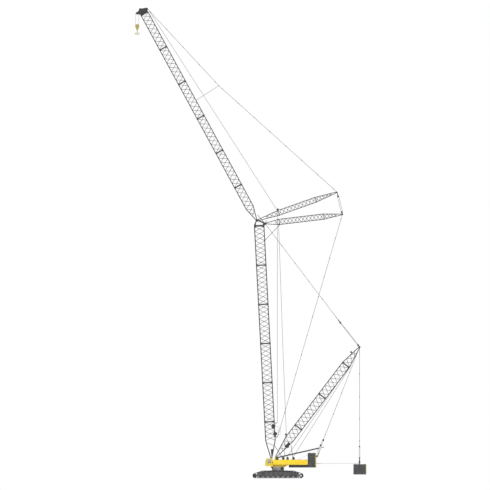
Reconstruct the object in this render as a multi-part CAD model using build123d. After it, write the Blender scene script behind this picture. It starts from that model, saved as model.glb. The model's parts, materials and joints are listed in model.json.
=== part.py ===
from build123d import *
import os
from math import acos, atan2, cos, degrees, hypot, pi, radians, sin

# Crawler crane with a luffing jib and a superlift mast, as a 1:10 scale model.
# Millimetres, +Z up, X towards the counterweight, the boom leans towards -X.
# The origin is on the ground under the slewing axis. Side views are drawn in X and Z.

# Clearances
SEAT = 0.3              # between a piece and the seat that carries it
PIN_PLAY = 0.06         # radial, pin in eye
MOVING = 6.0            # between pieces that pass each other

# Crawler tracks
TRACK_GAUGE = 900.0     # between the middles of the two tracks
SHOE_WIDTH = 200.0
TRACK_WHEELBASE = 1406.0
END_WHEEL_RADIUS = 82.0     # to the ground side of the shoes
TOP_RUN_HEIGHT = 240.0
TOP_RUN_LENGTH = 960.0
SHOE_THICKNESS = 9.0
LINK_THICKNESS = 11.0
SHOE_DEPTH = 13.5       # a shoe reaches this far in, past the links' face
SHOE_COUNT = 54
SHOE_GAP = 5.0
ROLLER_RADIUS = 21.0
ROLLER_COUNT = 9
SIDE_FRAME_WIDTH = 150.0
HUB_LENGTH = 16.0
RIB_COUNT = 7           # on each face of a side frame
RIB_THICKNESS = 8.0
RIB_PROUD = 9.0
RIB_SPAN = 840.0

# Car body and slewing ring
CARBODY_LENGTH = 560.0
CARBODY_WIDTH = 420.0
CARBODY_BOTTOM = 96.0
CARBODY_TOP = 242.0
CROSS_BEAM_LENGTH = 150.0
RING_RADIUS = 188.0
RING_TOP = 314.7

# Upper works
DECK_FRONT = -217.0
DECK_REAR = 909.0
DECK_TOP = 572.0
DECK_STEP = 0.0         # where the deck steps down for the boom and mast feet
DECK_DROP = 50.0
DECK_BELLY = 315.0
DECK_HALF_WIDTH = 225.0
BELLY_REAR = 159.0
BELLY_RISE_END = 315.0
DECK_REAR_BOTTOM = 407.0
HOUSE_OUTER = 350.0
HOUSE_BOTTOM = 420.0
HOUSE_FRONT = -150.0
HOUSE_TOP = 560.0
REAR_BEAM_FRONT = 330.0
REAR_BEAM_BOTTOM = 330.0
REAR_BEAM_HALF_WIDTH = 110.0
HOUSE_CHAMFER = 24.0
HOUSE_SEAMS = (-20.0, 118.0, 250.0, 390.0, 520.0, 700.0)     # gaps between its doors, along X
SEAM = 2.0
LOUVRE_BAYS = ((-132.0, -38.0), (536.0, 684.0), (716.0, 864.0))
LOUVRES = 5
LOUVRE_LOW = 446.0
LOUVRE_PITCH = 11.0
LOUVRE_HEIGHT = 5.0
LOUVRE_DEPTH = 4.0

# Cab
CAB_FRONT = -389.0
CAB_REAR = -160.0
CAB_BOTTOM = 392.0
CAB_TOP = 609.0
CAB_OUTER = 352.0
CAB_INNER = 252.0
CAB_WALL = 7.0
CAB_NOSE = 34.0         # how far the windscreen's top leans back
GLASS = 3.0
DOOR_FRONT = -322.0
DOOR_REAR = -206.0
CAB_PILLAR = 14.0
CAB_SILL = 40.0
CAB_SCREEN_DROP = 120.0
DOOR_THICKNESS = 6.0
DOOR_GAP = 1.5
DOOR_RIM = 9.0
DOOR_PANEL = 62.0       # height of the panel below the door's pane
HINGE_PIN = 2.0
HINGE_RADIUS = 4.0
HINGE_LENGTH = 14.0
HINGE_LEAF = 10.0
HINGE_HEIGHTS = (430.0, 560.0)
CONSOLE_DEPTH = 26.0

# Rear counterweight
STACK_REAR = 1158.0
STACK_TOP = 774.0
STACK_INNER = 90.0
STACK_OUTER = 350.0
SLAB_COUNT = 8
SLAB_GAP = 0.6
TRAY_THICKNESS = 36.0
END_PLATE = 14.0
BRACE_FOOT = 612.0          # a thin brace from the deck to the front of each stack
BRACE_TOP = 719.0
BRACE_LANE = 150.0
BRACE = 8.0

# Winches
DRUM_RADIUS = 27.0
DRUM_FLANGE = 38.0
FLANGE_THICKNESS = 6.0
SHAFT_RADIUS = 8.0
DECK_DRUMS = (162.0, 294.0, 477.0)      # along X
DECK_DRUM_GAP = 6.0         # between the deck and the flanges of its drums
DECK_DRUM_HEIGHT = DECK_TOP + DRUM_FLANGE + DECK_DRUM_GAP
DECK_DRUM_LENGTH = 150.0
BOOM_DRUMS = ((-148.0, 1595.0), (-90.0, 1358.0))
BOOM_DRUM_RADIUS = 46.0
BOOM_DRUM_FLANGE = 62.0
BOOM_DRUM_LENGTH = 190.0
MAST_WINCH_WIDTH = 200.0
MAST_WINCH_SIDE = ((32.0, 626.0), (95.0, 626.0), (141.0, 480.0), (96.0, 438.0), (20.0, 436.0))
MAST_WINCH_ARMS = (479.0, 587.0)    # along the mast
GUARD_GAP = 6.0         # between a boom drum's flange and the guard behind it
GUARD_PLATE = 4.0
GUARD_LOW = -20.0       # from the drum's axis
GUARD_HIGH = 60.0
CHEEK = 8.0
ARM = 16.0              # thickness of the arms that carry a winch between two tubes

# Pins of the main hinges
PIN_RADIUS = 12.0
EYE_RADIUS = 26.0
EAR = 12.0              # thickness of the ears that hold a leg
EAR_BASE = 34.0         # half the width of an ear where it stands
PIN_PROUD = 4.0

# Lattice members: how thick their tubes are and how the lacing is spaced
CHORD_SIDES = 8
LACING = 9.0
LEG_END = 52.0          # where the tubes of a leg start, from its hinge
LEG_HALF = 20.0         # half the distance between its tubes there
STRUT_LEG_HALF = 16.0

# Main boom
BOOM_FOOT = (-202.0, 590.0)
BOOM_ANGLE = 93.0           # measured from +X
BOOM_WIDTH = 320.0
BOOM_HALF_DEPTH = 145.0
BOOM_CHORD = 15.0
BOOM_FOOT_END = 1140.0
BOOM_TAPER = 568.0
BOOM_SECTION = 1200.0
BOOM_SECTIONS = 5
BOOM_PITCH = 143.0
BOOM_BARE = 520.0       # the legs have no lacing up to here
BOOM_BRACE = (405.0, 510.0)     # a diagonal on each side, where it leaves the rear and front tubes
GUSSET = (80.0, 300.0)          # a wedge of plate along each rear leg, from its tip to its top
GUSSET_WIDTH = 55.0
GUSSET_PLATE = 16.0
BOOM_HEAD_PLATE = 24.0
JOINT_GAP = 0.4         # half the gap between two bolted sections

# Luffing jib, hinged on the boom head
JIB_FOOT = (-649.0, 7886.0)
JIB_ANGLE = 118.5
JIB_WIDTH = 260.0
JIB_HALF_DEPTH = 120.0
JIB_CHORD = 13.0
JIB_FOOT_END = 1200.0
JIB_TAPER = 450.0
JIB_SECTION = 1200.0
JIB_SECTIONS = 4
JIB_HEAD_LENGTH = 1205.0
JIB_HEAD_END = JIB_FOOT_END + JIB_SECTIONS * JIB_SECTION + JIB_HEAD_LENGTH
JIB_PITCH = 143.0
JIB_BARE = 195.0

# Superlift mast
MAST_FOOT = (-80.0, 636.0)
MAST_ANGLE = 52.7
MAST_WIDTH = 400.0
MAST_HALF_DEPTH = 130.0
MAST_CHORD = 13.0
MAST_FOOT_END = 1160.0
MAST_TAPER = 700.0
MAST_SECTION = 1200.0
MAST_SECTIONS = 2
MAST_HEAD_TAPER = 3570.0
MAST_LENGTH = 4250.0
MAST_PITCH = 150.0
MAST_BARE = 280.0       # leaves room for the boom's stops between the legs

# Jib struts: the front one stands on the jib foot, the rear one on the boom head
FRONT_STRUT_ANGLE = 19.5
FRONT_STRUT_LENGTH = 2606.0
FRONT_STRUT_WIDTH = 200.0
FRONT_STRUT_HALF_DEPTH = 77.0
REAR_STRUT_FOOT = (-396.0, 7794.0)
REAR_STRUT_ANGLE = 6.8
REAR_STRUT_LENGTH = 2383.0
REAR_STRUT_WIDTH = 250.0
REAR_STRUT_HALF_DEPTH = 82.0
STRUT_CHORD = 11.0
STRUT_PITCH = 118.0
FRONT_TAPERS = (700.0, 1900.0)      # where a strut has its full depth, from its foot
REAR_TAPERS = (425.0, 1800.0)
STRUT_PROP_FOOT = 6709.0            # along the boom
STRUT_PROP_LANE = 100.0
STRUT_PROP_TUBE = 8.0
STRUT_PROP_BAR = 14.0

# Stops on the boom head: one pair for the jib, a short pair for the front strut
JIB_STOP = (-661.0, 8097.0)         # where it points
JIB_STOP_LENGTH = 350.0
JIB_STOP_LANE = 60.0
STRUT_STOP = (-309.0, 7957.0)
STRUT_STOP_LENGTH = 112.0
STRUT_STOP_LANE = 100.0
STOP_BAR = 16.0

# Pairs of guide sheaves on the backs of members, and how high they stand
GUIDE_RADIUS = 30.0
GUIDE_LANE = 16.0
GUIDE_WIDTH = 10.0
GUIDE_EAR = 22.0                    # half the length of an ear where it stands
FRONT_GUIDE_RISE = 24.0
MAST_GUIDES = ((757.0, 34.0), (3971.0, 40.0))       # along the mast, rise

# A-frame behind the mast foot
A_FRAME_FOOT = (-46.0, 627.0)
A_FRAME_HEAD = (1330.0, 942.0)
A_FRAME_LANE = 262.0
A_FRAME_DEPTH = 40.0
A_FRAME_BAR = 24.0
A_FRAME_TIE = 14.0
SHEAVE_SHAFT = 10.0
BACK_TIE_FOOT = (1205.0, 676.0)
MAST_TACKLE_PIN = (1291.0, 972.0)

# Stays
STAY_WIDTH = 11.0
STAY_THICKNESS = 8.0
LUG_REACH = 62.0
TACKLE_REACH = 70.0
BLOCK_SHEAVE = 30.0
TACKLE_LANE = 40.0
LUG_LANE = TACKLE_LANE - STAY_THICKNESS - SEAT
BOOM_TACKLE_LANE = 110.0
PROP_TUBE = 6.0
BOOM_STOP_FOOT = (150.0, 606.0)
BOOM_STOP_TOP = (-91.0, 980.0)
MAST_STOP_FOOT = (455.0, 606.0)
MAST_STOP_TOP = (400.0, 1004.0)
BOOM_STAY_LANE = 199.0
MAST_STAY_LANE = 60.0
JIB_STAY_LANE = 84.0
BACK_STAY_LANE = 70.0
SPREADER = (1867.0, 4813.0)
MAST_SPREADER = (1392.0, 1187.0)
JIB_STAY_HEAD = (-4009.0, 14382.0)
JIB_PROP_TOP = (-1812.0, 12014.0)
JIB_PROP_FOOT = (-2485.0, 11579.0)
BACK_STAY_FOOT = (-15.0, 1264.0)

# Superlift ballast
BALLAST_FORWARD = 188.0     # from the mast's head to the front of the ballast
BALLAST_BACKWARD = 210.0
BALLAST_BOTTOM = 116.0
BALLAST_TOP = 431.0
BALLAST_INNER = 66.0
BALLAST_OUTER = 190.0
BALLAST_SLABS = 6
BALLAST_TRAY = 24.0
HANGER_LANE = 26.0
TACKLE_TOP = 994.0
TACKLE_BOTTOM = 643.0
GUIDE_HEIGHT = 452.0
GUIDE_TUBE_LANE = 30.0
GUIDE_ROD_LANE = 10.0
GUIDE_ROD = 10.0
GUIDE_ROD_DEPTH = 14.0
GUIDE_TUBE_END = 1790.0
COLUMN = 16.0               # half the length of the column that lifts the ballast
COLUMN_RISE = 30.0          # over the slabs
GUIDE_ROD_START = 1650.0

# Hook and its sheaves
HOOK_SHEAVE = (-4308.0, 14232.0)
SHEAVE_RADIUS = 44.0
SHEAVE_THICKNESS = 14.0
SHEAVE_LANE = 16.0
ROPE = 3.5
BLOCK_TOP = 13899.0
BLOCK_BOTTOM = BLOCK_TOP - 178.0
BLOCK_HALF_WIDTH = 61.0
BLOCK_LANE = 30.0
BLOCK_SHEAVE_DROP = 50.0    # from the top of the hook block to its sheaves' shaft
HOOK_BOTTOM = BLOCK_BOTTOM - 147.0
HOOK_REACH = 73.0
HOOK_OUTER = 42.0
HOOK_INNER = 22.0
HOOK_THICKNESS = 26.0
HOOK_STEM = 13.0            # half the width of the stem between the two throats
HOOK_STEM_TOP = 46.0        # from the middle of the throats
HOOK_STEM_DROP = 20.0
HOOK_TIP = 30.0
HOOK_POINT = 6.0
CROSSHEAD_BOTTOM = 16.0     # from the bottom of the hook block
CROSSHEAD_TOP = 52.0
NUT_RADIUS = 16.0
NUT_HEIGHT = 18.0
SHANK_RADIUS = 9.0
HEAD_PLATE_LANE = 42.0
GUIDE_SHEAVE = (-55.0, 7377.0)      # in the jib's frame

os.makedirs("parts", exist_ok=True)


def save(name, solids):
    """Write a sub-part; its pieces don't touch each other."""
    export_step(Compound([s for piece in solids for s in piece.solids()]), f"parts/{name}.step")


def plate(points, middle, thickness):
    """A plate cut to an outline in the side view, centred on Y = middle."""
    side = Plane(origin=(0, middle, 0), x_dir=(1, 0, 0), z_dir=(0, -1, 0))
    return extrude(side * Polygon(*points, align=None), amount=thickness / 2, both=True)


def box(x0, x1, y0, y1, z0, z1):
    return Pos((x0 + x1) / 2, (y0 + y1) / 2, (z0 + z1) / 2) * Box(x1 - x0, y1 - y0, z1 - z0)


def disc(centre, radius, middle, width, hole=0.0):
    """A round piece on an axis along Y, with a hole through it if one is given."""
    place = Pos(centre[0], middle, centre[1]) * Rot(X=90)
    solid = place * Cylinder(radius, width)
    return solid - place * Cylinder(hole, 2 * width) if hole else solid


def strap(start, end, width, lane, thickness, trim=0.0):
    """A flat bar between two points of the side view."""
    length = hypot(end[0] - start[0], end[1] - start[1])
    ux, uz = (end[0] - start[0]) / length, (end[1] - start[1]) / length
    a = (start[0] + ux * trim, start[1] + uz * trim)
    b = (end[0] - ux * trim, end[1] - uz * trim)
    nx, nz = -uz * width / 2, ux * width / 2
    corners = [(a[0] + nx, a[1] + nz), (a[0] - nx, a[1] - nz), (b[0] - nx, b[1] - nz), (b[0] + nx, b[1] + nz)]
    return plate(corners, lane, thickness)


def along(foot, angle):
    """The frame of a member: local Z runs along it, local X across it in the side view."""
    return Location((foot[0], 0, foot[1]), (0, 90 - angle, 0))


def point_on(foot, angle, s, n=0.0):
    """Side-view point at s along a member and n across it."""
    a = radians(angle)
    return (foot[0] + s * cos(a) + n * sin(a), foot[1] + s * sin(a) - n * cos(a))


# Lattice work

def chord(outline, y, radius):
    """A straight or once-bent tube through (across, along) points, at one Y."""
    (x0, z0), (x1, z1) = outline[:2]
    start = Plane(origin=(x0, y, z0), x_dir=(0, 1, 0), z_dir=(x1 - x0, 0, z1 - z0))
    profile = start * RegularPolygon(
        radius, CHORD_SIDES, major_radius=False, rotation=180 / CHORD_SIDES
    )
    path = Polyline(*[(x, y, z) for x, z in outline])
    return sweep(profile, path=path, transition=Transition.RIGHT)


def lacing_outlines(start, end, pitch, half, offset, first_side):
    """Zigzag bars between two chords, cut along them, as outlines of (across, along) points."""
    count = max(1, round((end - start) / pitch))
    step = (end - start) / count
    outlines = []
    for i in range(count):
        side = first_side * (-1) ** i
        span = half(start + i * step) + half(start + (i + 1) * step)
        h = LACING / 2 * hypot(span, step) / span
        a, b = start + i * step + h + SEAT, start + (i + 1) * step - h - SEAT
        outlines.append(
            [
                (side * (half(a - h) - offset), a - h),
                (-side * (half(b - h) - offset), b - h),
                (-side * (half(b + h) - offset), b + h),
                (side * (half(a + h) - offset), a + h),
            ]
        )
    return outlines


def lattice(outline, width, radius, pitch, frames=(), laced_from=0.0, laced_to=None, faces=(-1, 1)):
    """A lattice section with four chords.

    outline lists (half depth, along) where the chords start, bend and end. Lacing runs on
    the two sides and, at twice the pitch, on the front and rear faces that are asked for.
    """
    laced_to = outline[-1][1] if laced_to is None else laced_to

    def half(s):
        for (d0, s0), (d1, s1) in zip(outline, outline[1:]):
            if s <= s1 or s1 == outline[-1][1]:
                return d0 + (d1 - d0) * (s - s0) / (s1 - s0)

    solids = [
        chord([(side * d, s) for d, s in outline], y, radius)
        for side in (-1, 1)
        for y in (-width / 2, width / 2)
    ]
    for (d0, s0), (d1, s1) in zip(outline, outline[1:]):
        slope = hypot(d1 - d0, s1 - s0) / (s1 - s0)
        low, high = max(s0, laced_from), min(s1, laced_to)
        if high - low < pitch / 2:
            continue
        rim = LACING + 2 * SEAT if frames else 0.0
        low_rim = rim if low in frames else 0.0
        high_rim = rim if high in frames else 0.0
        offset = (radius + SEAT) * slope
        for y, first in ((-width / 2, 1), (width / 2, -1)):
            for points in lacing_outlines(low + low_rim, high - high_rim, pitch, half, offset, first):
                solids.append(plate(points, y, LACING))
        for side in faces:
            origin = (side * half(low), 0, low)
            direction = (side * (half(high) - half(low)), 0, high - low)
            face = Plane(origin=origin, x_dir=(0, 1, 0), z_dir=(direction[2], 0, -direction[0]))
            length = hypot(direction[0], direction[2])
            bars = lacing_outlines(
                low_rim, length - high_rim, 2 * pitch, lambda s: width / 2, radius + SEAT, side
            )
            for points in bars:
                bar = face * Polygon(*points, align=None)
                solids.append(extrude(bar, amount=LACING / 2, both=True))
    for s in frames:
        inward = 1 if s < (outline[0][1] + outline[-1][1]) / 2 else -1
        mid = s + inward * LACING / 2
        reach = half(mid) - radius - SEAT
        for y in (-width / 2, width / 2):
            solids.append(box(-reach, reach, y - LACING / 2, y + LACING / 2, mid - LACING / 2, mid + LACING / 2))
        span = width / 2 - radius - SEAT
        for side in (-1, 1):
            x = side * half(mid)
            solids.append(box(x - LACING / 2, x + LACING / 2, -span, span, mid - LACING / 2, mid + LACING / 2))
    return solids


def placed(location, solids):
    return [location * s for s in solids]


# Tracks

def track_outline(inset):
    """The loop of a track in the side view, inset from its outer face: the middle and radius of
    its end arcs, the angle at which they end, where they end, and the corner of the top run."""
    radius = END_WHEEL_RADIUS - inset
    middle = (TRACK_WHEELBASE / 2, END_WHEEL_RADIUS)
    corner = (TOP_RUN_LENGTH / 2, TOP_RUN_HEIGHT - inset)
    rise = atan2(corner[1] - middle[1], corner[0] - middle[0])
    reach = hypot(corner[0] - middle[0], corner[1] - middle[1])
    lift = rise - acos(radius / reach)
    tangent = (middle[0] + radius * cos(lift), middle[1] + radius * sin(lift))
    return middle, radius, lift, tangent, corner


def track_path(inset):
    """The loop as pieces: (length, function from length to point)."""
    (cx, cz), r, lift, (tx, tz), (px, pz) = track_outline(inset)
    pieces = []

    def line(a, b):
        length = hypot(b[0] - a[0], b[1] - a[1])
        u = ((b[0] - a[0]) / length, (b[1] - a[1]) / length)
        pieces.append((length, lambda t: (a[0] + u[0] * t, a[1] + u[1] * t)))

    def arc(x, start, sweep_angle):
        def place(t):
            angle = start + t / r
            return x + r * cos(angle), cz + r * sin(angle)

        pieces.append((r * sweep_angle, place))

    line((-cx, cz - r), (cx, cz - r))
    arc(cx, -pi / 2, lift + pi / 2)
    line((tx, tz), (px, pz))
    line((px, pz), (-px, pz))
    line((-px, pz), (-tx, tz))
    arc(-cx, pi - lift, lift + pi / 2)
    return pieces


def track_band(outer, inner):
    """The closed chain of links between two insets, as a flat face."""
    faces = []
    for inset in (outer, inner):
        (cx, cz), r, lift, (tx, tz), (px, pz) = track_outline(inset)
        middle = (lift - pi / 2) / 2
        edges = [
            Line((-cx, cz - r), (cx, cz - r)),
            ThreePointArc((cx, cz - r), (cx + r * cos(middle), cz + r * sin(middle)), (tx, tz)),
            Line((tx, tz), (px, pz)),
            Line((px, pz), (-px, pz)),
            Line((-px, pz), (-tx, tz)),
            ThreePointArc((-tx, tz), (-cx - r * cos(middle), cz + r * sin(middle)), (-cx, cz - r)),
        ]
        faces.append(make_face(edges))
    return faces[0] - faces[1]


def track(y):
    """One loop with its shoes: links fused to grouser plates at an even pitch."""
    band = track_band(SHOE_THICKNESS, SHOE_THICKNESS + LINK_THICKNESS)
    path = track_path(0.0)
    total = sum(length for length, _ in path)
    pitch = total / SHOE_COUNT

    def on_path(t):
        t %= total
        for length, place in path:
            if t <= length:
                return place(t)
            t -= length

    shoes = []
    for i in range(SHOE_COUNT):
        (x0, z0), (x1, z1) = on_path(i * pitch + SHOE_GAP / 2), on_path((i + 1) * pitch - SHOE_GAP / 2)
        shoe = Rectangle(hypot(x1 - x0, z1 - z0), SHOE_DEPTH, align=(Align.MIN, Align.MIN))
        shoes.append(Pos(x0, z0) * Rot(Z=degrees(atan2(z1 - z0, x1 - x0))) * shoe)
    loop = band + shoes
    side = Plane(origin=(0, y, 0), x_dir=(1, 0, 0), z_dir=(0, -1, 0))
    return extrude(side * loop, amount=SHOE_WIDTH / 2, both=True)


def side_frame(y):
    """The closed box frame that the track runs round, with its rollers and end wheels."""
    inset = SHOE_THICKNESS + LINK_THICKNESS
    wheel = END_WHEEL_RADIUS - inset - SEAT
    cx, cz = TRACK_WHEELBASE / 2, END_WHEEL_RADIUS
    roller_z = inset + SEAT + ROLLER_RADIUS
    top = TOP_RUN_HEIGHT - inset - SEAT
    half = cx - wheel - 2 * SEAT
    bottom = roller_z + ROLLER_RADIUS + SEAT
    beam = plate(
        [(-half, bottom), (half, bottom), (half, cz + 20), (TOP_RUN_LENGTH / 2 - 30, top), (30 - TOP_RUN_LENGTH / 2, top), (-half, cz + 20)],
        y,
        SIDE_FRAME_WIDTH,
    )
    rib_top = cz + 20
    for i in range(RIB_COUNT):
        x = -RIB_SPAN / 2 + i * RIB_SPAN / (RIB_COUNT - 1)
        out = SIDE_FRAME_WIDTH / 2 + RIB_PROUD
        beam += box(x - RIB_THICKNESS / 2, x + RIB_THICKNESS / 2, y - out, y + out, bottom, rib_top)
    solids = [beam]
    spacing = 2 * (half - ROLLER_RADIUS) / (ROLLER_COUNT - 1)
    for i in range(ROLLER_COUNT):
        x = -half + ROLLER_RADIUS + i * spacing
        solids.append(disc((x, roller_z), ROLLER_RADIUS, y, SIDE_FRAME_WIDTH * 0.8))
    for x in (-cx, cx):
        solids.append(disc((x, cz), wheel, y, SIDE_FRAME_WIDTH * 0.7))
        for out in (-1, 1):
            face = y + out * (SIDE_FRAME_WIDTH * 0.35 + SEAT + HUB_LENGTH / 2)
            solids.append(disc((x, cz), wheel * 0.55, face, HUB_LENGTH))
    return solids


for name, y in (("track_left", -TRACK_GAUGE / 2), ("track_right", TRACK_GAUGE / 2)):
    save(name, [track(y)])
for name, y in (("side_frame_left", -TRACK_GAUGE / 2), ("side_frame_right", TRACK_GAUGE / 2)):
    save(name, side_frame(y))


# Car body

def carbody():
    """The box between the side frames, with two cross beams that reach into them."""
    reach = TRACK_GAUGE / 2 - SIDE_FRAME_WIDTH / 2 - SEAT
    body = box(-CARBODY_LENGTH / 2, CARBODY_LENGTH / 2, -CARBODY_WIDTH / 2, CARBODY_WIDTH / 2, CARBODY_BOTTOM, CARBODY_TOP)
    for side in (-1, 1):
        x = side * (CARBODY_LENGTH - CROSS_BEAM_LENGTH) / 2
        body += box(
            x - CROSS_BEAM_LENGTH / 2, x + CROSS_BEAM_LENGTH / 2, -reach, reach,
            CARBODY_BOTTOM + 20, CARBODY_TOP - 30,
        )
    top = Pos(0, 0, CARBODY_TOP + 12) * Cylinder(RING_RADIUS - 10, 24)
    return body + top


save("carbody", [carbody()])


# Upper works

def turntable():
    """The slewing ring and its upper flange."""
    low = CARBODY_TOP + 24 + SEAT
    return Pos(0, 0, (low + RING_TOP) / 2) * Cylinder(RING_RADIUS, RING_TOP - low)


def ear(centre, base, lane, thickness, pin):
    """A plate that stands on a flat base and carries a hinge pin."""
    foot_left, foot_right = centre[0] - EAR_BASE, centre[0] + EAR_BASE
    body = plate(
        [(foot_left, base), (foot_right, base), (centre[0] + EYE_RADIUS, centre[1]), (centre[0] - EYE_RADIUS, centre[1])],
        lane,
        thickness,
    )
    body += disc(centre, EYE_RADIUS, lane, thickness)
    return body - disc(centre, pin, lane, 2 * thickness)


def ears(centre, base, lane, leg):
    """Two ears, one each side of a leg."""
    out = leg / 2 + SEAT + EAR / 2
    return [ear(centre, base, lane + side * out, EAR, PIN_RADIUS) for side in (-1, 1)]


def hinge_pin(centre, lane, leg):
    return disc(centre, PIN_RADIUS - PIN_PLAY, lane, leg + 2 * (SEAT + EAR + PIN_PROUD))


def leg_foot(half_depth, radius, y, taper_from):
    """The forged foot of a leg, in the member's own frame: an eye, and a block under both tubes."""
    depth = half_depth + radius
    top = taper_from - SEAT
    body = plate([(-depth, top), (-EYE_RADIUS, 0), (EYE_RADIUS, 0), (depth, top)], y, 2 * radius)
    body += disc((0, 0), EYE_RADIUS, y, 2 * radius)
    return body - disc((0, 0), PIN_RADIUS, y, 3 * radius)


def deck():
    """The main frame of the upper works, a deep box that rises towards the counterweight."""
    frame = plate(
        [
            (DECK_FRONT, DECK_BELLY), (BELLY_REAR, DECK_BELLY), (BELLY_RISE_END, DECK_REAR_BOTTOM),
            (DECK_REAR, DECK_REAR_BOTTOM), (DECK_REAR, DECK_TOP), (DECK_STEP, DECK_TOP),
            (DECK_STEP - 30, DECK_TOP - DECK_DROP), (DECK_FRONT, DECK_TOP - DECK_DROP),
        ],
        0,
        2 * DECK_HALF_WIDTH,
    )
    frame += box(
        CAB_FRONT, DECK_FRONT + CONSOLE_DEPTH, -CAB_OUTER, -DECK_HALF_WIDTH,
        CAB_BOTTOM - SEAT - CONSOLE_DEPTH, CAB_BOTTOM - SEAT,
    )
    frame += box(
        DECK_FRONT, CAB_REAR, -CAB_OUTER, 1 - DECK_HALF_WIDTH,
        CAB_BOTTOM - SEAT - CONSOLE_DEPTH, CAB_BOTTOM - SEAT,
    )
    base = DECK_TOP - DECK_DROP
    pins = []
    for foot, width, leg in ((BOOM_FOOT, BOOM_WIDTH, 2 * BOOM_CHORD), (MAST_FOOT, MAST_WIDTH, 2 * MAST_CHORD)):
        for lane in (-width / 2, width / 2):
            for piece in ears(foot, base - 1, lane, leg):
                frame += piece
            pins.append(hinge_pin(foot, lane, leg))
    return [frame] + pins


save("turntable", [turntable()])
save("deck", deck())


def machinery_house(side):
    """A closed side house with a chamfered shoulder, seams between its doors, and louvres."""
    y0, y1 = DECK_HALF_WIDTH + SEAT, HOUSE_OUTER
    shoulder = HOUSE_TOP - HOUSE_CHAMFER
    profile = [
        (y0, HOUSE_BOTTOM), (y1, HOUSE_BOTTOM), (y1, shoulder), (y1 - HOUSE_CHAMFER, HOUSE_TOP), (y0, HOUSE_TOP),
    ]
    across = Plane(origin=(HOUSE_FRONT, 0, 0), x_dir=(0, 1, 0), z_dir=(1, 0, 0))
    points = [(side * y, z) for y, z in profile]
    house = extrude(across * Polygon(*points, align=None), amount=DECK_REAR - HOUSE_FRONT, dir=(1, 0, 0))
    cuts = [(x - SEAM / 2, x + SEAM / 2, SEAM, HOUSE_BOTTOM + SEAM, shoulder) for x in HOUSE_SEAMS]
    for x0, x1 in LOUVRE_BAYS:
        for i in range(LOUVRES):
            low = LOUVRE_LOW + i * LOUVRE_PITCH
            cuts.append((x0, x1, LOUVRE_DEPTH, low, low + LOUVRE_HEIGHT))
    for x0, x1, depth, z0, z1 in cuts:
        inner, outer = sorted((side * (y1 - depth), side * (y1 + depth)))
        house -= box(x0, x1, inner, outer, z0, z1)
    return house


save("machinery_houses", [machinery_house(-1), machinery_house(1)])
save(
    "rear_beam",
    [box(REAR_BEAM_FRONT, DECK_REAR, -REAR_BEAM_HALF_WIDTH, REAR_BEAM_HALF_WIDTH, REAR_BEAM_BOTTOM, DECK_REAR_BOTTOM - SEAT)],
)


# Rear counterweight

def slabs(x0, x1, y0, y1, z0, z1, count):
    """A stack of equal slabs, each resting on the one below."""
    pitch = (z1 - z0 + SLAB_GAP) / count
    return [
        box(x0, x1, y0, y1, z0 + i * pitch, z0 + (i + 1) * pitch - SLAB_GAP) for i in range(count)
    ]


def counterweight():
    front = DECK_REAR + SEAT
    bottom = REAR_BEAM_BOTTOM + TRAY_THICKNESS + SEAT
    solids = []
    for side in (-1, 1):
        y0, y1 = sorted((side * STACK_INNER, side * STACK_OUTER))
        solids += slabs(front, STACK_REAR, y0, y1, bottom, STACK_TOP, SLAB_COUNT)
    return solids


def counterweight_frame():
    """The tray under both stacks, the end plates behind them with the hitches for the back ties,
    the fixed half of the telescopic guide for the superlift ballast, and two thin braces."""
    front, rear = DECK_REAR + SEAT, STACK_REAR + SEAT + END_PLATE
    base = REAR_BEAM_BOTTOM + TRAY_THICKNESS
    solids = [box(front, rear, -STACK_OUTER, STACK_OUTER, REAR_BEAM_BOTTOM, base)]
    for side in (-1, 1):
        y0, y1 = sorted((side * STACK_INNER, side * STACK_OUTER))
        end = box(STACK_REAR + SEAT, rear, y0, y1, base + SEAT, STACK_TOP)
        end += plate(
            [
                (STACK_REAR + END_PLATE, BACK_TIE_FOOT[1] - 40), (BACK_TIE_FOOT[0] + 16, BACK_TIE_FOOT[1] - 16),
                (BACK_TIE_FOOT[0] + 16, BACK_TIE_FOOT[1] + 16), (STACK_REAR + END_PLATE, BACK_TIE_FOOT[1] + 30),
            ],
            side * A_FRAME_LANE,
            EAR,
        )
        lane = side * GUIDE_TUBE_LANE
        guide = box(STACK_REAR + SEAT, rear, lane - 9, lane + 9, base + SEAT, GUIDE_HEIGHT + 14)
        guide += box(STACK_REAR + END_PLATE, GUIDE_TUBE_END, lane - 8, lane + 8, GUIDE_HEIGHT - 8, GUIDE_HEIGHT + 8)
        solids += [end, guide]
    foot = DECK_TOP + SEAT
    brace = [
        (BRACE_FOOT, foot), (BRACE_FOOT + 2 * BRACE, foot),
        (DECK_REAR, BRACE_TOP - BRACE / 2), (DECK_REAR, BRACE_TOP + BRACE / 2),
    ]
    return solids + [plate(brace, lane, BRACE) for lane in (-BRACE_LANE, BRACE_LANE)]


save("counterweight", counterweight())
save("counterweight_frame", counterweight_frame())


# A-frame

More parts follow.
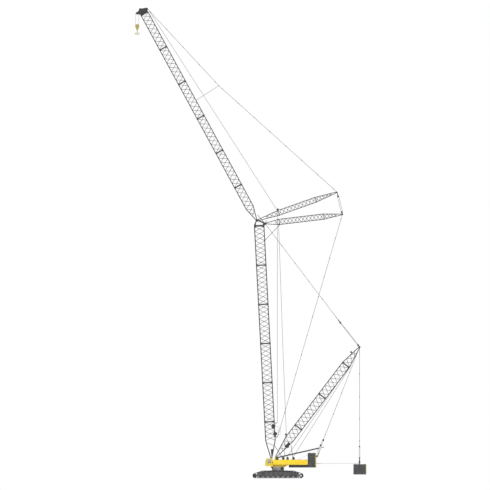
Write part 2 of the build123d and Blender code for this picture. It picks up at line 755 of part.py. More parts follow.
def a_frame():
    """Two raked legs from the deck to a cross head, and the ties that hold the head down."""
    solids = []
    for lane in (-A_FRAME_LANE, A_FRAME_LANE):
        leg = strap(A_FRAME_FOOT, A_FRAME_HEAD, A_FRAME_DEPTH, lane, A_FRAME_BAR)
        foot = box(
            A_FRAME_FOOT[0] - 20, A_FRAME_FOOT[0] + 60, lane - A_FRAME_BAR / 2, lane + A_FRAME_BAR / 2,
            HOUSE_TOP + SEAT, A_FRAME_FOOT[1] + 10,
        )
        solids.append(leg + foot)
        solids.append(strap(A_FRAME_HEAD, BACK_TIE_FOOT, A_FRAME_TIE, lane + (EAR + A_FRAME_TIE / 2) * (1 if lane > 0 else -1), A_FRAME_TIE))
    reach = A_FRAME_LANE - A_FRAME_BAR / 2 - SEAT
    head = disc(MAST_TACKLE_PIN, PIN_RADIUS, 0, 2 * reach)
    for side in (-1, 1):
        y = side * reach / 2
        head += plate(
            [(MAST_TACKLE_PIN[0] - 22, MAST_TACKLE_PIN[1] - 50), (MAST_TACKLE_PIN[0] + 30, MAST_TACKLE_PIN[1] - 50),
             (MAST_TACKLE_PIN[0] + 14, MAST_TACKLE_PIN[1] + 14), (MAST_TACKLE_PIN[0] - 14, MAST_TACKLE_PIN[1] + 14)],
            y,
            EAR,
        )
    head += box(MAST_TACKLE_PIN[0] - 22, MAST_TACKLE_PIN[0] + 22, -reach, reach, MAST_TACKLE_PIN[1] - 62, MAST_TACKLE_PIN[1] - 34)
    return solids + [head]


save("a_frame", a_frame())


# Cab

def cab_outline(inset):
    """The cab in the side view, with a windscreen that leans back, shrunk by an inset."""
    return [
        (CAB_FRONT + inset, CAB_BOTTOM + inset),
        (CAB_REAR - inset, CAB_BOTTOM + inset),
        (CAB_REAR - inset, CAB_TOP - inset),
        (CAB_FRONT + CAB_NOSE + inset, CAB_TOP - inset),
        (CAB_FRONT + inset, CAB_TOP - CAB_SCREEN_DROP),
    ]


def cab_windows():
    """The openings: the windscreen, the rear pane, the far side, and the doorway, as cutters."""
    mid = -(CAB_OUTER + CAB_INNER) / 2
    width = CAB_OUTER - CAB_INNER - 2 * CAB_PILLAR
    screen = box(CAB_FRONT - 20, CAB_FRONT + CAB_NOSE + CAB_WALL + 2, mid - width / 2, mid + width / 2, CAB_BOTTOM + CAB_SILL, CAB_TOP - CAB_PILLAR)
    back = box(CAB_REAR - 2 * CAB_WALL, CAB_REAR + 20, mid - width / 2, mid + width / 2, CAB_TOP - 96, CAB_TOP - CAB_PILLAR)
    far = box(CAB_FRONT + CAB_NOSE + 20, CAB_REAR - 30, -CAB_INNER - 2 * CAB_WALL, -CAB_INNER + 20, CAB_TOP - 96, CAB_TOP - CAB_PILLAR)
    corner = box(CAB_FRONT + CAB_NOSE + CAB_PILLAR, DOOR_FRONT - CAB_PILLAR, -CAB_OUTER - 20, -CAB_OUTER + 2 * CAB_WALL, CAB_BOTTOM + CAB_SILL, CAB_TOP - CAB_PILLAR)
    doorway = box(DOOR_FRONT, DOOR_REAR, -CAB_OUTER - 20, -CAB_OUTER + 2 * CAB_WALL, CAB_BOTTOM + CAB_WALL, CAB_TOP - CAB_PILLAR)
    return screen, back, far, corner, doorway


def hinge_brackets():
    """Brackets on the jamb, above and below each barrel of the door, with a pin between them."""
    x, y = DOOR_REAR, -CAB_OUTER - HINGE_RADIUS
    out = HINGE_LENGTH / 2 + SEAT + HINGE_RADIUS / 2
    pieces = []
    for z in HINGE_HEIGHTS:
        pieces.append(Pos(x, y, z) * Cylinder(HINGE_PIN, 2 * out))
        for middle in (z - out, z + out):
            pieces.append(Pos(x, y, middle) * Cylinder(HINGE_RADIUS, HINGE_RADIUS))
            pieces.append(
                box(x, x + HINGE_LEAF, y, 1 - CAB_OUTER, middle - HINGE_RADIUS / 2, middle + HINGE_RADIUS / 2)
            )
    return pieces


def cab():
    """A hollow shell with its windows cut, one wall thick all round."""
    mid = -(CAB_OUTER + CAB_INNER) / 2
    width = CAB_OUTER - CAB_INNER
    shell = plate(cab_outline(0), mid, width) - plate(cab_outline(CAB_WALL), mid, width - 2 * CAB_WALL)
    for cutter in cab_windows():
        shell -= cutter
    seat = box(CAB_FRONT + 110, CAB_FRONT + 160, mid - 24, mid + 24, CAB_BOTTOM + CAB_WALL, CAB_BOTTOM + 66)
    seat += box(CAB_FRONT + 152, CAB_FRONT + 162, mid - 24, mid + 24, CAB_BOTTOM + 60, CAB_BOTTOM + 150)
    for piece in hinge_brackets():
        shell += piece
    return [shell + seat]


def cab_glass():
    """Flat panes that sit in the windows, clear of their frames by the seat gap."""
    mid = -(CAB_OUTER + CAB_INNER) / 2
    half = (CAB_OUTER - CAB_INNER) / 2 - CAB_PILLAR - SEAT
    top, sill = CAB_TOP - CAB_PILLAR - SEAT, CAB_BOTTOM + CAB_SILL + SEAT
    side = -CAB_OUTER + CAB_WALL / 2
    back = box(CAB_REAR - CAB_WALL / 2 - GLASS, CAB_REAR - CAB_WALL / 2, mid - half, mid + half, CAB_TOP - 96 + SEAT, top)
    corner = box(
        CAB_FRONT + CAB_NOSE + CAB_PILLAR + SEAT, DOOR_FRONT - CAB_PILLAR - SEAT,
        side - GLASS / 2, side + GLASS / 2, sill, top,
    )
    far = box(
        CAB_FRONT + CAB_NOSE + 20 + SEAT, CAB_REAR - 30 - SEAT,
        -CAB_INNER - CAB_WALL / 2 - GLASS / 2, -CAB_INNER - CAB_WALL / 2 + GLASS / 2, CAB_TOP - 96 + SEAT, top,
    )
    knee = (CAB_FRONT + 2, CAB_TOP - CAB_SCREEN_DROP)
    lean = (CAB_FRONT + 2 + CAB_NOSE * (top - knee[1]) / CAB_SCREEN_DROP, top)
    screen = plate(
        [(CAB_FRONT + 2, sill), knee, lean, (lean[0] + GLASS, top), (knee[0] + GLASS, knee[1]), (CAB_FRONT + 2 + GLASS, sill)],
        mid,
        2 * half,
    )
    return [screen, back, corner, far]


def door_corners():
    """The low and high corners of the door in the side view."""
    low = (DOOR_FRONT + DOOR_GAP, CAB_BOTTOM + CAB_WALL + DOOR_GAP)
    return low, (DOOR_REAR - DOOR_GAP, CAB_TOP - CAB_PILLAR - DOOR_GAP)


def cab_door():
    """The door: a frame with a cut for its pane, a pull bar, and the barrels of its hinges."""
    (x0, z0), (x1, z1) = door_corners()
    y0 = -CAB_OUTER
    door = box(x0, x1, y0, y0 + DOOR_THICKNESS, z0, z1)
    door -= box(x0 + DOOR_RIM, x1 - DOOR_RIM, y0 - 1, y0 + DOOR_THICKNESS + 1, z0 + DOOR_PANEL, z1 - DOOR_RIM)
    door += box(x0 + 12, x0 + 15, y0 - 5, y0 - 2, z0 + 34, z0 + 56)
    for z in (z0 + 35, z0 + 53):
        door += box(x0 + 12, x0 + 15, y0 - 5, y0 + 1, z, z + 3)
    for z in HINGE_HEIGHTS:
        half = HINGE_LENGTH / 2
        axis = Pos(DOOR_REAR, y0 - HINGE_RADIUS, z)
        door += box(DOOR_REAR - HINGE_LEAF, DOOR_REAR, y0 - HINGE_RADIUS, y0 + 1, z - half, z + half)
        door -= box(x1, DOOR_REAR + 1, y0 - SEAT, y0 + 2, z - half - 1, z + half + 1)
        door += axis * Cylinder(HINGE_RADIUS, HINGE_LENGTH)
        door -= axis * Cylinder(HINGE_PIN + PIN_PLAY, 2 * HINGE_LENGTH)
    return [door]


def door_glass():
    (x0, z0), (x1, z1) = door_corners()
    middle = -CAB_OUTER + DOOR_THICKNESS / 2
    rim = DOOR_RIM + SEAT
    return [
        box(x0 + rim, x1 - rim, middle - GLASS / 2, middle + GLASS / 2, z0 + DOOR_PANEL + SEAT, z1 - rim)
    ]


save("cab", cab())
save("cab_glass", cab_glass())
save("cab_door", cab_door())
save("door_glass", door_glass())


# Winches

def drum(centre, radius, flange, length):
    """A drum with two flanges, bored for its shaft."""
    body = disc(centre, radius, 0, length)
    for side in (-1, 1):
        body += disc(centre, flange, side * (length - FLANGE_THICKNESS) / 2, FLANGE_THICKNESS)
    return body - disc(centre, SHAFT_RADIUS + PIN_PLAY, 0, 2 * length)


def deck_winch_mounts():
    """Cheeks on the deck, with a shaft through each pair."""
    solids = []
    for x in DECK_DRUMS:
        out = DECK_DRUM_LENGTH / 2 + MOVING + CHEEK / 2
        mount = disc((x, DECK_DRUM_HEIGHT), SHAFT_RADIUS, 0, 2 * out)
        for lane in (-out, out):
            mount += plate(
                [(x - 40, DECK_TOP + SEAT), (x + 40, DECK_TOP + SEAT), (x + 18, DECK_DRUM_HEIGHT + 16), (x - 18, DECK_DRUM_HEIGHT + 16)],
                lane,
                CHEEK,
            )
        solids.append(mount)
    return solids


def boom_winch_mounts():
    """Cheeks between the boom's tubes, with a shaft through each pair and a guard behind."""
    solids = []
    for x, z in BOOM_DRUMS:
        out = BOOM_DRUM_LENGTH / 2 + MOVING + CHEEK / 2
        reach = BOOM_WIDTH / 2 - BOOM_CHORD - SEAT
        guard = x + BOOM_DRUM_FLANGE + GUARD_GAP
        mount = disc((x, z), SHAFT_RADIUS, 0, 2 * out)
        for side in (-1, 1):
            mount += plate(
                [(x - 30, z - 84), (x + 24, z - 84), (x + 30, z + 40), (x, z + 70), (x - 30, z + 70)], side * out, CHEEK
            )
            y0, y1 = sorted((side * out, side * reach))
            low = z - 84
            along_boom = (low + ARM / 2 - BOOM_FOOT[1]) / sin(radians(BOOM_ANGLE))
            tube = point_on(BOOM_FOOT, BOOM_ANGLE, along_boom, BOOM_HALF_DEPTH)[0]
            mount += box(min(x - 24, tube - ARM), max(x + 24, tube + ARM), y0, y1, low, low + ARM)
            mount += strap((x + 20, z + 30), (guard, z + 30), ARM, side * out, CHEEK)
        edge = out + CHEEK / 2
        mount += box(guard, guard + GUARD_PLATE, -edge, edge, z + GUARD_LOW, z + GUARD_HIGH)
        solids.append(mount)
    return solids


save("deck_winch_mounts", deck_winch_mounts())
for i, x in enumerate(DECK_DRUMS, 1):
    save(f"deck_drum_{i}", [drum((x, DECK_DRUM_HEIGHT), DRUM_RADIUS, DRUM_FLANGE, DECK_DRUM_LENGTH)])
save("boom_winch_mounts", boom_winch_mounts())
for i, centre in enumerate(BOOM_DRUMS, 1):
    save(f"boom_drum_{i}", [drum(centre, BOOM_DRUM_RADIUS, BOOM_DRUM_FLANGE, BOOM_DRUM_LENGTH)])


# Main boom

BOOM = along(BOOM_FOOT, BOOM_ANGLE)


def tapered(half_depth, taper, s=LEG_END):
    """Half depth of a tapering leg at s."""
    return LEG_HALF + (half_depth - LEG_HALF) * (s - LEG_END) / (taper - LEG_END)


def foot_section(half_depth, width, radius, taper, end, pitch, bare):
    """Two tapering legs that meet in a straight part, open at the back."""
    outline = [(LEG_HALF, LEG_END), (half_depth, taper), (half_depth, end)]
    solids = lattice(outline, width, radius, pitch, frames=(end,), laced_from=bare, faces=(-1,))
    for y in (-width / 2, width / 2):
        solids.append(leg_foot(LEG_HALF, radius, y, LEG_END))
    return solids


def straight_section(half_depth, width, radius, length, pitch):
    outline = [(half_depth, JOINT_GAP), (half_depth, length - JOINT_GAP)]
    return lattice(outline, width, radius, pitch, frames=(JOINT_GAP, length - JOINT_GAP))


def boom_foot_plates():
    """On each side of the boom foot: a wedge of plate along the rear leg, a diagonal above it
    where the boom meets its stop, and a bar across between the wedges."""
    def leg(s):
        return tapered(BOOM_HALF_DEPTH, BOOM_TAPER, s)

    slope = hypot(BOOM_HALF_DEPTH - LEG_HALF, BOOM_TAPER - LEG_END) / (BOOM_TAPER - LEG_END)
    offset = (BOOM_CHORD + SEAT) * slope
    tip, top = GUSSET
    wedge = [(leg(tip) - offset, tip), (leg(top) - offset, top), (leg(top) - offset - GUSSET_WIDTH, top)]
    low, high = BOOM_BRACE
    solids = []
    for y in (-BOOM_WIDTH / 2, BOOM_WIDTH / 2):
        solids.append(plate(wedge, y, GUSSET_PLATE))
        for points in lacing_outlines(low, high, high - low, leg, offset, 1):
            solids.append(plate(points, y, LACING))
    reach = (BOOM_WIDTH - GUSSET_PLATE) / 2 - SEAT
    x = leg(top) - offset - GUSSET_WIDTH / 2
    solids.append(box(x - LACING / 2, x + LACING / 2, -reach, reach, top - 2 * LACING, top - LACING))
    return solids


foot = foot_section(BOOM_HALF_DEPTH, BOOM_WIDTH, BOOM_CHORD, BOOM_TAPER, BOOM_FOOT_END, BOOM_PITCH, BOOM_BARE)
save("boom_foot", placed(BOOM, foot + boom_foot_plates()))
for i in range(BOOM_SECTIONS):
    section = straight_section(BOOM_HALF_DEPTH, BOOM_WIDTH, BOOM_CHORD, BOOM_SECTION, BOOM_PITCH)
    place = BOOM * Pos(0, 0, BOOM_FOOT_END + i * BOOM_SECTION)
    save(f"boom_insert_{i + 1}", placed(place, section))


def boom_head():
    """Side plates that carry the jib's hinge and the rear strut's, tied by cross tubes."""
    top = BOOM_FOOT_END + BOOM_SECTIONS * BOOM_SECTION + JOINT_GAP
    outer = BOOM_HALF_DEPTH + BOOM_CHORD
    hinge = BOOM.inverse() * Pos(JIB_FOOT[0], 0, JIB_FOOT[1])
    strut = BOOM.inverse() * Pos(REAR_STRUT_FOOT[0], 0, REAR_STRUT_FOOT[1])
    jx, jz = hinge.position.X, hinge.position.Z
    sx, sz = strut.position.X, strut.position.Z
    outline = [
        (-outer, top), (outer, top), (sx + EYE_RADIUS, sz - EYE_RADIUS), (sx + EYE_RADIUS, sz + EYE_RADIUS),
        (sx, sz + EYE_RADIUS + 8), (jx + EYE_RADIUS + 10, jz + EYE_RADIUS), (jx - EYE_RADIUS, jz + EYE_RADIUS), (jx - 70, jz - 90), (-outer, top + 40),
    ]
    window = [
        (60 - outer, top + 34), (outer - 50, top + 34), (sx - 57, sz + 12), (jx + 42, jz - 26), (jx - 21, jz - 44),
    ]
    head = None
    for lane in (-BOOM_WIDTH / 2, BOOM_WIDTH / 2):
        side = plate(outline, lane, BOOM_HEAD_PLATE) - plate(window, lane, 2 * BOOM_HEAD_PLATE)
        head = side if head is None else head + side
    head += disc((sx, sz), PIN_RADIUS - PIN_PLAY, 0, 2 * (BOOM_STAY_LANE - STAY_THICKNESS / 2 - SEAT))
    head += disc((jx, jz), PIN_RADIUS - PIN_PLAY, 0, BOOM_WIDTH + BOOM_HEAD_PLATE + 2 * PIN_PROUD)
    for x, z in ((-outer + 30, top + 14), (outer - 30, top + 14)):
        head += disc((x, z), 11, 0, BOOM_WIDTH)
    return head


def toward(a, b, distance):
    """The side-view point at a distance from a towards b."""
    length = hypot(b[0] - a[0], b[1] - a[1])
    return (a[0] + (b[0] - a[0]) * distance / length, a[1] + (b[1] - a[1]) * distance / length)


def head_stops():
    """Bars on the rear strut's shaft that the jib and its front strut would come to rest against."""
    for target, length, lane in (
        (JIB_STOP, JIB_STOP_LENGTH, JIB_STOP_LANE), (STRUT_STOP, STRUT_STOP_LENGTH, STRUT_STOP_LANE),
    ):
        end = toward(REAR_STRUT_FOOT, target, length)
        for side in (-lane, lane):
            yield strap(REAR_STRUT_FOOT, end, STOP_BAR, side, STOP_BAR)


head = BOOM * boom_head()
for stop in head_stops():
    head += stop
save("boom_head", [head])


# Struts of the jib

def strut(length, half_depth, width, tapers):
    """A lattice strut with a hinged foot and, on its tip, a shaft for sheaves and stays."""
    outline = [(STRUT_LEG_HALF, LEG_END), (half_depth, tapers[0]), (half_depth, tapers[1]), (STRUT_LEG_HALF, length - LEG_END)]
    solids = lattice(outline, width, STRUT_CHORD, STRUT_PITCH, laced_from=LEG_END + 2 * STRUT_PITCH, laced_to=length - LEG_END - STRUT_PITCH)
    for y in (-width / 2, width / 2):
        solids.append(leg_foot(STRUT_LEG_HALF, STRUT_CHORD, y, LEG_END))
    tip = None
    for y in (-width / 2, width / 2):
        end = plate(
            [(-STRUT_LEG_HALF - STRUT_CHORD, length - LEG_END + SEAT), (STRUT_LEG_HALF + STRUT_CHORD, length - LEG_END + SEAT), (20, length), (0, length + 22), (-20, length)],
            y,
            2 * STRUT_CHORD,
        )
        tip = end if tip is None else tip + end
    tip += disc((0, length), PIN_RADIUS, 0, width)
    return solids + [tip]


def guide_sheaves(half, radius, width, s, rise):
    """Two sheaves on a shaft over the back of a member, with an ear on each of its tubes there."""
    shaft = (-half(s) - radius - rise, s)
    frame = disc(shaft, SHAFT_RADIUS, 0, width + CHEEK)
    base = [(-half(t) - radius - 2 * SEAT, t) for t in (s - GUIDE_EAR, s + GUIDE_EAR)]
    crown = 1.5 * SHAFT_RADIUS
    over = [(shaft[0] - crown, s + crown), (shaft[0] - crown, s - crown)]
    for lane in (-width / 2, width / 2):
        frame += plate(base + over, lane, CHEEK)
    sheaves = [
        disc(shaft, GUIDE_RADIUS, lane, GUIDE_WIDTH, hole=SHAFT_RADIUS + PIN_PLAY)
        for lane in (-GUIDE_LANE, GUIDE_LANE)
    ]
    return [frame] + sheaves


def strut_prop():
    """The frame that props the rear strut on the back of the boom: a bar across under the strut's
    tubes, another behind the boom's, and two bars between them."""
    out = STRUT_PROP_TUBE + SEAT
    top = point_on(REAR_STRUT_FOOT, REAR_STRUT_ANGLE, REAR_TAPERS[0], REAR_STRUT_HALF_DEPTH + STRUT_CHORD + out)
    low = point_on(BOOM_FOOT, BOOM_ANGLE, STRUT_PROP_FOOT, BOOM_HALF_DEPTH + BOOM_CHORD + out)
    prop = disc(top, STRUT_PROP_TUBE, 0, REAR_STRUT_WIDTH + 2 * STRUT_CHORD)
    prop += disc(low, STRUT_PROP_TUBE, 0, BOOM_WIDTH + 2 * BOOM_CHORD)
    for lane in (-STRUT_PROP_LANE, STRUT_PROP_LANE):
        prop += strap(top, low, STRUT_PROP_BAR, lane, STRUT_PROP_BAR)
    return prop


FRONT_STRUT = along(JIB_FOOT, FRONT_STRUT_ANGLE)
REAR_STRUT = along(REAR_STRUT_FOOT, REAR_STRUT_ANGLE)
FRONT_TIP = point_on(JIB_FOOT, FRONT_STRUT_ANGLE, FRONT_STRUT_LENGTH)
REAR_TIP = point_on(REAR_STRUT_FOOT, REAR_STRUT_ANGLE, REAR_STRUT_LENGTH)


def tip_lugs(tip, target, lane, reach):
    """Two plates on a shaft, pointing at what they hold."""
    length = hypot(target[0] - tip[0], target[1] - tip[1])
    end = (tip[0] + (target[0] - tip[0]) * reach / length, tip[1] + (target[1] - tip[1]) * reach / length)
    return [strap(tip, end, 24, side * lane, STAY_THICKNESS) for side in (-1, 1)]


front = placed(FRONT_STRUT, strut(FRONT_STRUT_LENGTH, FRONT_STRUT_HALF_DEPTH, FRONT_STRUT_WIDTH, FRONT_TAPERS))
for piece in tip_lugs(FRONT_TIP, REAR_TIP, LUG_LANE, LUG_REACH):
    front[-1] += piece
knee = guide_sheaves(lambda s: FRONT_STRUT_HALF_DEPTH, STRUT_CHORD, FRONT_STRUT_WIDTH, FRONT_TAPERS[0] + GUIDE_EAR, FRONT_GUIDE_RISE)
save("front_strut", front + placed(FRONT_STRUT, knee))
rear = placed(REAR_STRUT, strut(REAR_STRUT_LENGTH, REAR_STRUT_HALF_DEPTH, REAR_STRUT_WIDTH, REAR_TAPERS))
save("rear_strut", rear + [strut_prop()])


# Luffing jib

JIB = along(JIB_FOOT, JIB_ANGLE)
save("jib_foot", placed(JIB, foot_section(JIB_HALF_DEPTH, JIB_WIDTH, JIB_CHORD, JIB_TAPER, JIB_FOOT_END, JIB_PITCH, JIB_BARE)))
for i in range(JIB_SECTIONS):
    section = straight_section(JIB_HALF_DEPTH, JIB_WIDTH, JIB_CHORD, JIB_SECTION, JIB_PITCH)
    place = JIB * Pos(0, 0, JIB_FOOT_END + i * JIB_SECTION)
    save(f"jib_insert_{i + 1}", placed(place, section))


def jib_head():
    """The last section and the head frame with its sheaves."""
    start = JIB_FOOT_END + JIB_SECTIONS * JIB_SECTION
    outline = [(JIB_HALF_DEPTH, start + JOINT_GAP), (JIB_HALF_DEPTH, JIB_HEAD_END)]
    solids = lattice(outline, JIB_WIDTH, JIB_CHORD, JIB_PITCH, frames=(start + JOINT_GAP, JIB_HEAD_END))
    outer = JIB_HALF_DEPTH + JIB_CHORD
    low = JIB_HEAD_END + SEAT
    hook = JIB.inverse() * Pos(HOOK_SHEAVE[0], 0, HOOK_SHEAVE[1])
    stay = JIB.inverse() * Pos(JIB_STAY_HEAD[0], 0, JIB_STAY_HEAD[1])
    hx, hz = hook.position.X, hook.position.Z
    sx, sz = stay.position.X, stay.position.Z
    head = box(-outer, outer, -JIB_WIDTH / 2 - JIB_CHORD, JIB_WIDTH / 2 + JIB_CHORD, low, low + 20)
    profile = [
        (hx - 14, hz - 16), (-outer + 20, low + 18), (outer - 20, low + 18), (sx + 20, sz - 14), (sx + 12, sz + 20),
        (40, sz + 60), (-60, sz + 96), (-90, sz + 70), (hx - 14, hz + 18),
    ]
    for lane in (-HEAD_PLATE_LANE, HEAD_PLATE_LANE):
        head += plate(profile, lane, CHEEK)
    reach = HEAD_PLATE_LANE + CHEEK / 2 + PIN_PROUD
    head += disc((hx, hz), PIN_RADIUS - PIN_PLAY, 0, 2 * reach)
    head += disc((sx, sz), SHEAVE_SHAFT, 0, 2 * (JIB_STAY_LANE - STAY_THICKNESS / 2 - SEAT))
    guide = (GUIDE_SHEAVE[0], GUIDE_SHEAVE[1])
    head += disc(guide, SHAFT_RADIUS, 0, 2 * HEAD_PLATE_LANE)
    solids.append(head)
    for side in (-1, 1):
        solids.append(
            disc(guide, SHEAVE_RADIUS, side * SHEAVE_LANE, SHEAVE_THICKNESS, hole=SHAFT_RADIUS + PIN_PLAY)
        )
    return solids


save("jib_head", placed(JIB, jib_head()))


def jib_stays():
    """The bars that hold the jib from its head to the tip of the front strut, and their prop."""
    solids = []
    for lane in (-JIB_STAY_LANE, JIB_STAY_LANE):
        upper = strap(JIB_STAY_HEAD, JIB_PROP_TOP, STAY_WIDTH, lane, STAY_THICKNESS)
        length = hypot(FRONT_TIP[0] - JIB_PROP_TOP[0], FRONT_TIP[1] - JIB_PROP_TOP[1])
        short = (length - PIN_RADIUS - SEAT) / length
        end = tuple(a + (b - a) * short for a, b in zip(JIB_PROP_TOP, FRONT_TIP))
        lower = strap(JIB_PROP_TOP, end, STAY_WIDTH, lane, STAY_THICKNESS)
        solids.append(upper + lower + disc(JIB_PROP_TOP, STAY_WIDTH, lane, STAY_THICKNESS))
    bar = PROP_TUBE
    dx, dz = JIB_PROP_FOOT[0] - JIB_PROP_TOP[0], JIB_PROP_FOOT[1] - JIB_PROP_TOP[1]
    length = hypot(dx, dz)
    drop = STAY_WIDTH + bar + SEAT
    top = (JIB_PROP_TOP[0] + dx * drop / length, JIB_PROP_TOP[1] + dz * drop / length)
    lane = JIB_WIDTH / 2
    local = JIB.inverse() * Pos(JIB_PROP_FOOT[0], 0, JIB_PROP_FOOT[1])
    over = local.position.X - JIB_HALF_DEPTH - JIB_CHORD - SEAT
    run = length * over / abs(dx * sin(radians(JIB_ANGLE)) - dz * cos(radians(JIB_ANGLE)))
    foot = (JIB_PROP_FOOT[0] + dx * run / length, JIB_PROP_FOOT[1] + dz * run / length)
    prop = strap(top, foot, STAY_WIDTH, -lane, STAY_THICKNESS, trim=STAY_WIDTH / 2)
    prop += strap(top, foot, STAY_WIDTH, lane, STAY_THICKNESS, trim=STAY_WIDTH / 2)
    prop += disc(top, bar, 0, 2 * lane + STAY_THICKNESS)
    return solids + [prop]


save("jib_stays", jib_stays())


# Superlift mast

MAST = along(MAST_FOOT, MAST_ANGLE)
MAST_HEAD = point_on(MAST_FOOT, MAST_ANGLE, MAST_LENGTH)


def mast_half(s):
    """Half depth of the mast at s, from its foot to its head."""
    if s < MAST_TAPER:
        return tapered(MAST_HALF_DEPTH, MAST_TAPER, s)
    if s < MAST_HEAD_TAPER:
        return MAST_HALF_DEPTH
    return tapered(MAST_HALF_DEPTH, MAST_LENGTH - MAST_HEAD_TAPER, MAST_LENGTH - s)


def mast_head():
    """The tapering head, its end blocks, and the shaft that everything hangs from."""
    start = MAST_FOOT_END + MAST_SECTIONS * MAST_SECTION + JOINT_GAP
    last = MAST_LENGTH - LEG_END
    outline = [(MAST_HALF_DEPTH, start), (MAST_HALF_DEPTH, MAST_HEAD_TAPER + JOINT_GAP), (LEG_HALF, last)]
    if start >= MAST_HEAD_TAPER:
        outline = outline[1:]
    solids = lattice(outline, MAST_WIDTH, MAST_CHORD, MAST_PITCH, frames=(start,), laced_to=last - MAST_PITCH)
    depth = LEG_HALF + MAST_CHORD
    end = disc((0, MAST_LENGTH), PIN_RADIUS, 0, MAST_WIDTH)
    for y in (-MAST_WIDTH / 2, MAST_WIDTH / 2):
        end += plate(
            [(-depth, last + SEAT), (depth, last + SEAT), (EYE_RADIUS, MAST_LENGTH), (0, MAST_LENGTH + EYE_RADIUS), (-EYE_RADIUS, MAST_LENGTH)],
            y,
            2 * MAST_CHORD,
        )
    return solids, end


foot = foot_section(MAST_HALF_DEPTH, MAST_WIDTH, MAST_CHORD, MAST_TAPER, MAST_FOOT_END, MAST_PITCH, MAST_BARE)
low_guide, high_guide = [guide_sheaves(mast_half, MAST_CHORD, MAST_WIDTH, s, rise) for s, rise in MAST_GUIDES]
save("mast_foot", placed(MAST, foot + low_guide))
for i in range(MAST_SECTIONS):
    section = straight_section(MAST_HALF_DEPTH, MAST_WIDTH, MAST_CHORD, MAST_SECTION, MAST_PITCH)
    place = MAST * Pos(0, 0, MAST_FOOT_END + i * MAST_SECTION)
    save(f"mast_insert_{i + 1}", placed(place, section))
solids, end = mast_head()
end = MAST * end
for piece in tip_lugs(MAST_HEAD, MAST_SPREADER, MAST_STAY_LANE - STAY_THICKNESS - SEAT, LUG_REACH):
    end += piece
save("mast_head", placed(MAST, solids + high_guide) + [end])


def mast_winch():
    """A closed winch housing hung between the legs of the mast."""
    body = plate(MAST_WINCH_SIDE, 0, MAST_WINCH_WIDTH)
    reach = MAST_WIDTH / 2 - MAST_CHORD - SEAT
    for end in MAST_WINCH_ARMS:
        edge = tapered(MAST_HALF_DEPTH, MAST_TAPER, end)
        body += box(edge - ARM / 2, edge + ARM / 2, -reach, reach, end - ARM / 2, end + ARM / 2)
    return [body]


save("mast_winch", placed(MAST, mast_winch()))


# Stops between the deck and the boom and mast

def stops():
    """Telescopic props on the deck that the boom and the mast come to rest against."""
    solids = []
    for lane in (-BOOM_WIDTH / 2, BOOM_WIDTH / 2):
        prop = strap(BOOM_STOP_FOOT, BOOM_STOP_TOP, 16, lane, 16)
        prop += plate(
            [(BOOM_STOP_FOOT[0] - 30, DECK_TOP + SEAT), (BOOM_STOP_FOOT[0] + 30, DECK_TOP + SEAT),
             (BOOM_STOP_FOOT[0] + 12, BOOM_STOP_FOOT[1] + 12), (BOOM_STOP_FOOT[0] - 12, BOOM_STOP_FOOT[1] + 12)],
            lane,
            24,
        )
        solids.append(prop)
    for lane in (-MAST_WIDTH / 2, MAST_WIDTH / 2):
        prop = strap(MAST_STOP_FOOT, MAST_STOP_TOP, 16, lane, 16)
        prop += plate(
            [(MAST_STOP_FOOT[0] - 30, DECK_TOP + SEAT), (MAST_STOP_FOOT[0] + 30, DECK_TOP + SEAT),
             (MAST_STOP_FOOT[0] + 12, MAST_STOP_FOOT[1] + 12), (MAST_STOP_FOOT[0] - 12, MAST_STOP_FOOT[1] + 12)],
            lane,
            24,
        )
        solids.append(prop)
    return solids


save("stops", stops())


# Blocks, tackles and stays

def tackle_block(start, target, near, far, lane, hinged):
    """Two cheeks with sheaves on a pin between them, near to far along start to target."""
    tail, centre = toward(start, target, near), toward(start, target, far)
    frame = disc(centre, SHAFT_RADIUS, 0, 2 * lane)
    for side in (-lane, lane):
        frame += strap(tail, centre, 26, side, STAY_THICKNESS)
        frame += disc(centre, 20, side, STAY_THICKNESS)
        if hinged:
            frame += disc(tail, EYE_RADIUS, side, STAY_THICKNESS)
            frame -= disc(tail, PIN_RADIUS + PIN_PLAY, side, 4 * STAY_THICKNESS)
    solids = [frame]
    for middle in (-lane / 3, lane / 3):
        solids.append(disc(centre, BLOCK_SHEAVE, middle, 10, hole=SHAFT_RADIUS + PIN_PLAY))
    return solids


def stays(start, end, lane, trim_start, trim_end):
    a, b = toward(start, end, trim_start), toward(end, start, trim_end)
    return [strap(a, b, STAY_WIDTH, side, STAY_THICKNESS) for side in (-lane, lane)]


save("luff_tackle", tackle_block(REAR_TIP, FRONT_TIP, 0, TACKLE_REACH, TACKLE_LANE, True))
save("luff_block", tackle_block(FRONT_TIP, REAR_TIP, LUG_REACH - 15, LUG_REACH + TACKLE_REACH, TACKLE_LANE, False))

boom_stay_head = REAR_STRUT_FOOT
save("boom_tackle", tackle_block(MAST_HEAD, SPREADER, 0, TACKLE_REACH, BOOM_TACKLE_LANE, True))


def boom_stays():
    """The spreader block with its cross beam, and the two long bars to the boom head."""
    solids = tackle_block(SPREADER, boom_stay_head, 0, -TACKLE_REACH, BOOM_TACKLE_LANE, False)
    beam = toward(SPREADER, boom_stay_head, 0)
    solids[0] += disc(beam, 14, 0, 2 * (BOOM_STAY_LANE + STAY_THICKNESS / 2))
    for bar in stays(SPREADER, boom_stay_head, BOOM_STAY_LANE, 0, 0):
        solids[0] += bar
    return solids


save("boom_stays", boom_stays())

a_frame_pin = MAST_TACKLE_PIN
save("mast_tackle", tackle_block(a_frame_pin, MAST_SPREADER, 0, TACKLE_REACH * 0.6, MAST_STAY_LANE, True))


def mast_stays():
    solids = tackle_block(MAST_SPREADER, MAST_HEAD, 20, -20, MAST_STAY_LANE, False)
    for bar in stays(MAST_SPREADER, MAST_HEAD, MAST_STAY_LANE, 20, LUG_REACH - 15):
        solids[0] += bar
    return solids


save("mast_stays", mast_stays())


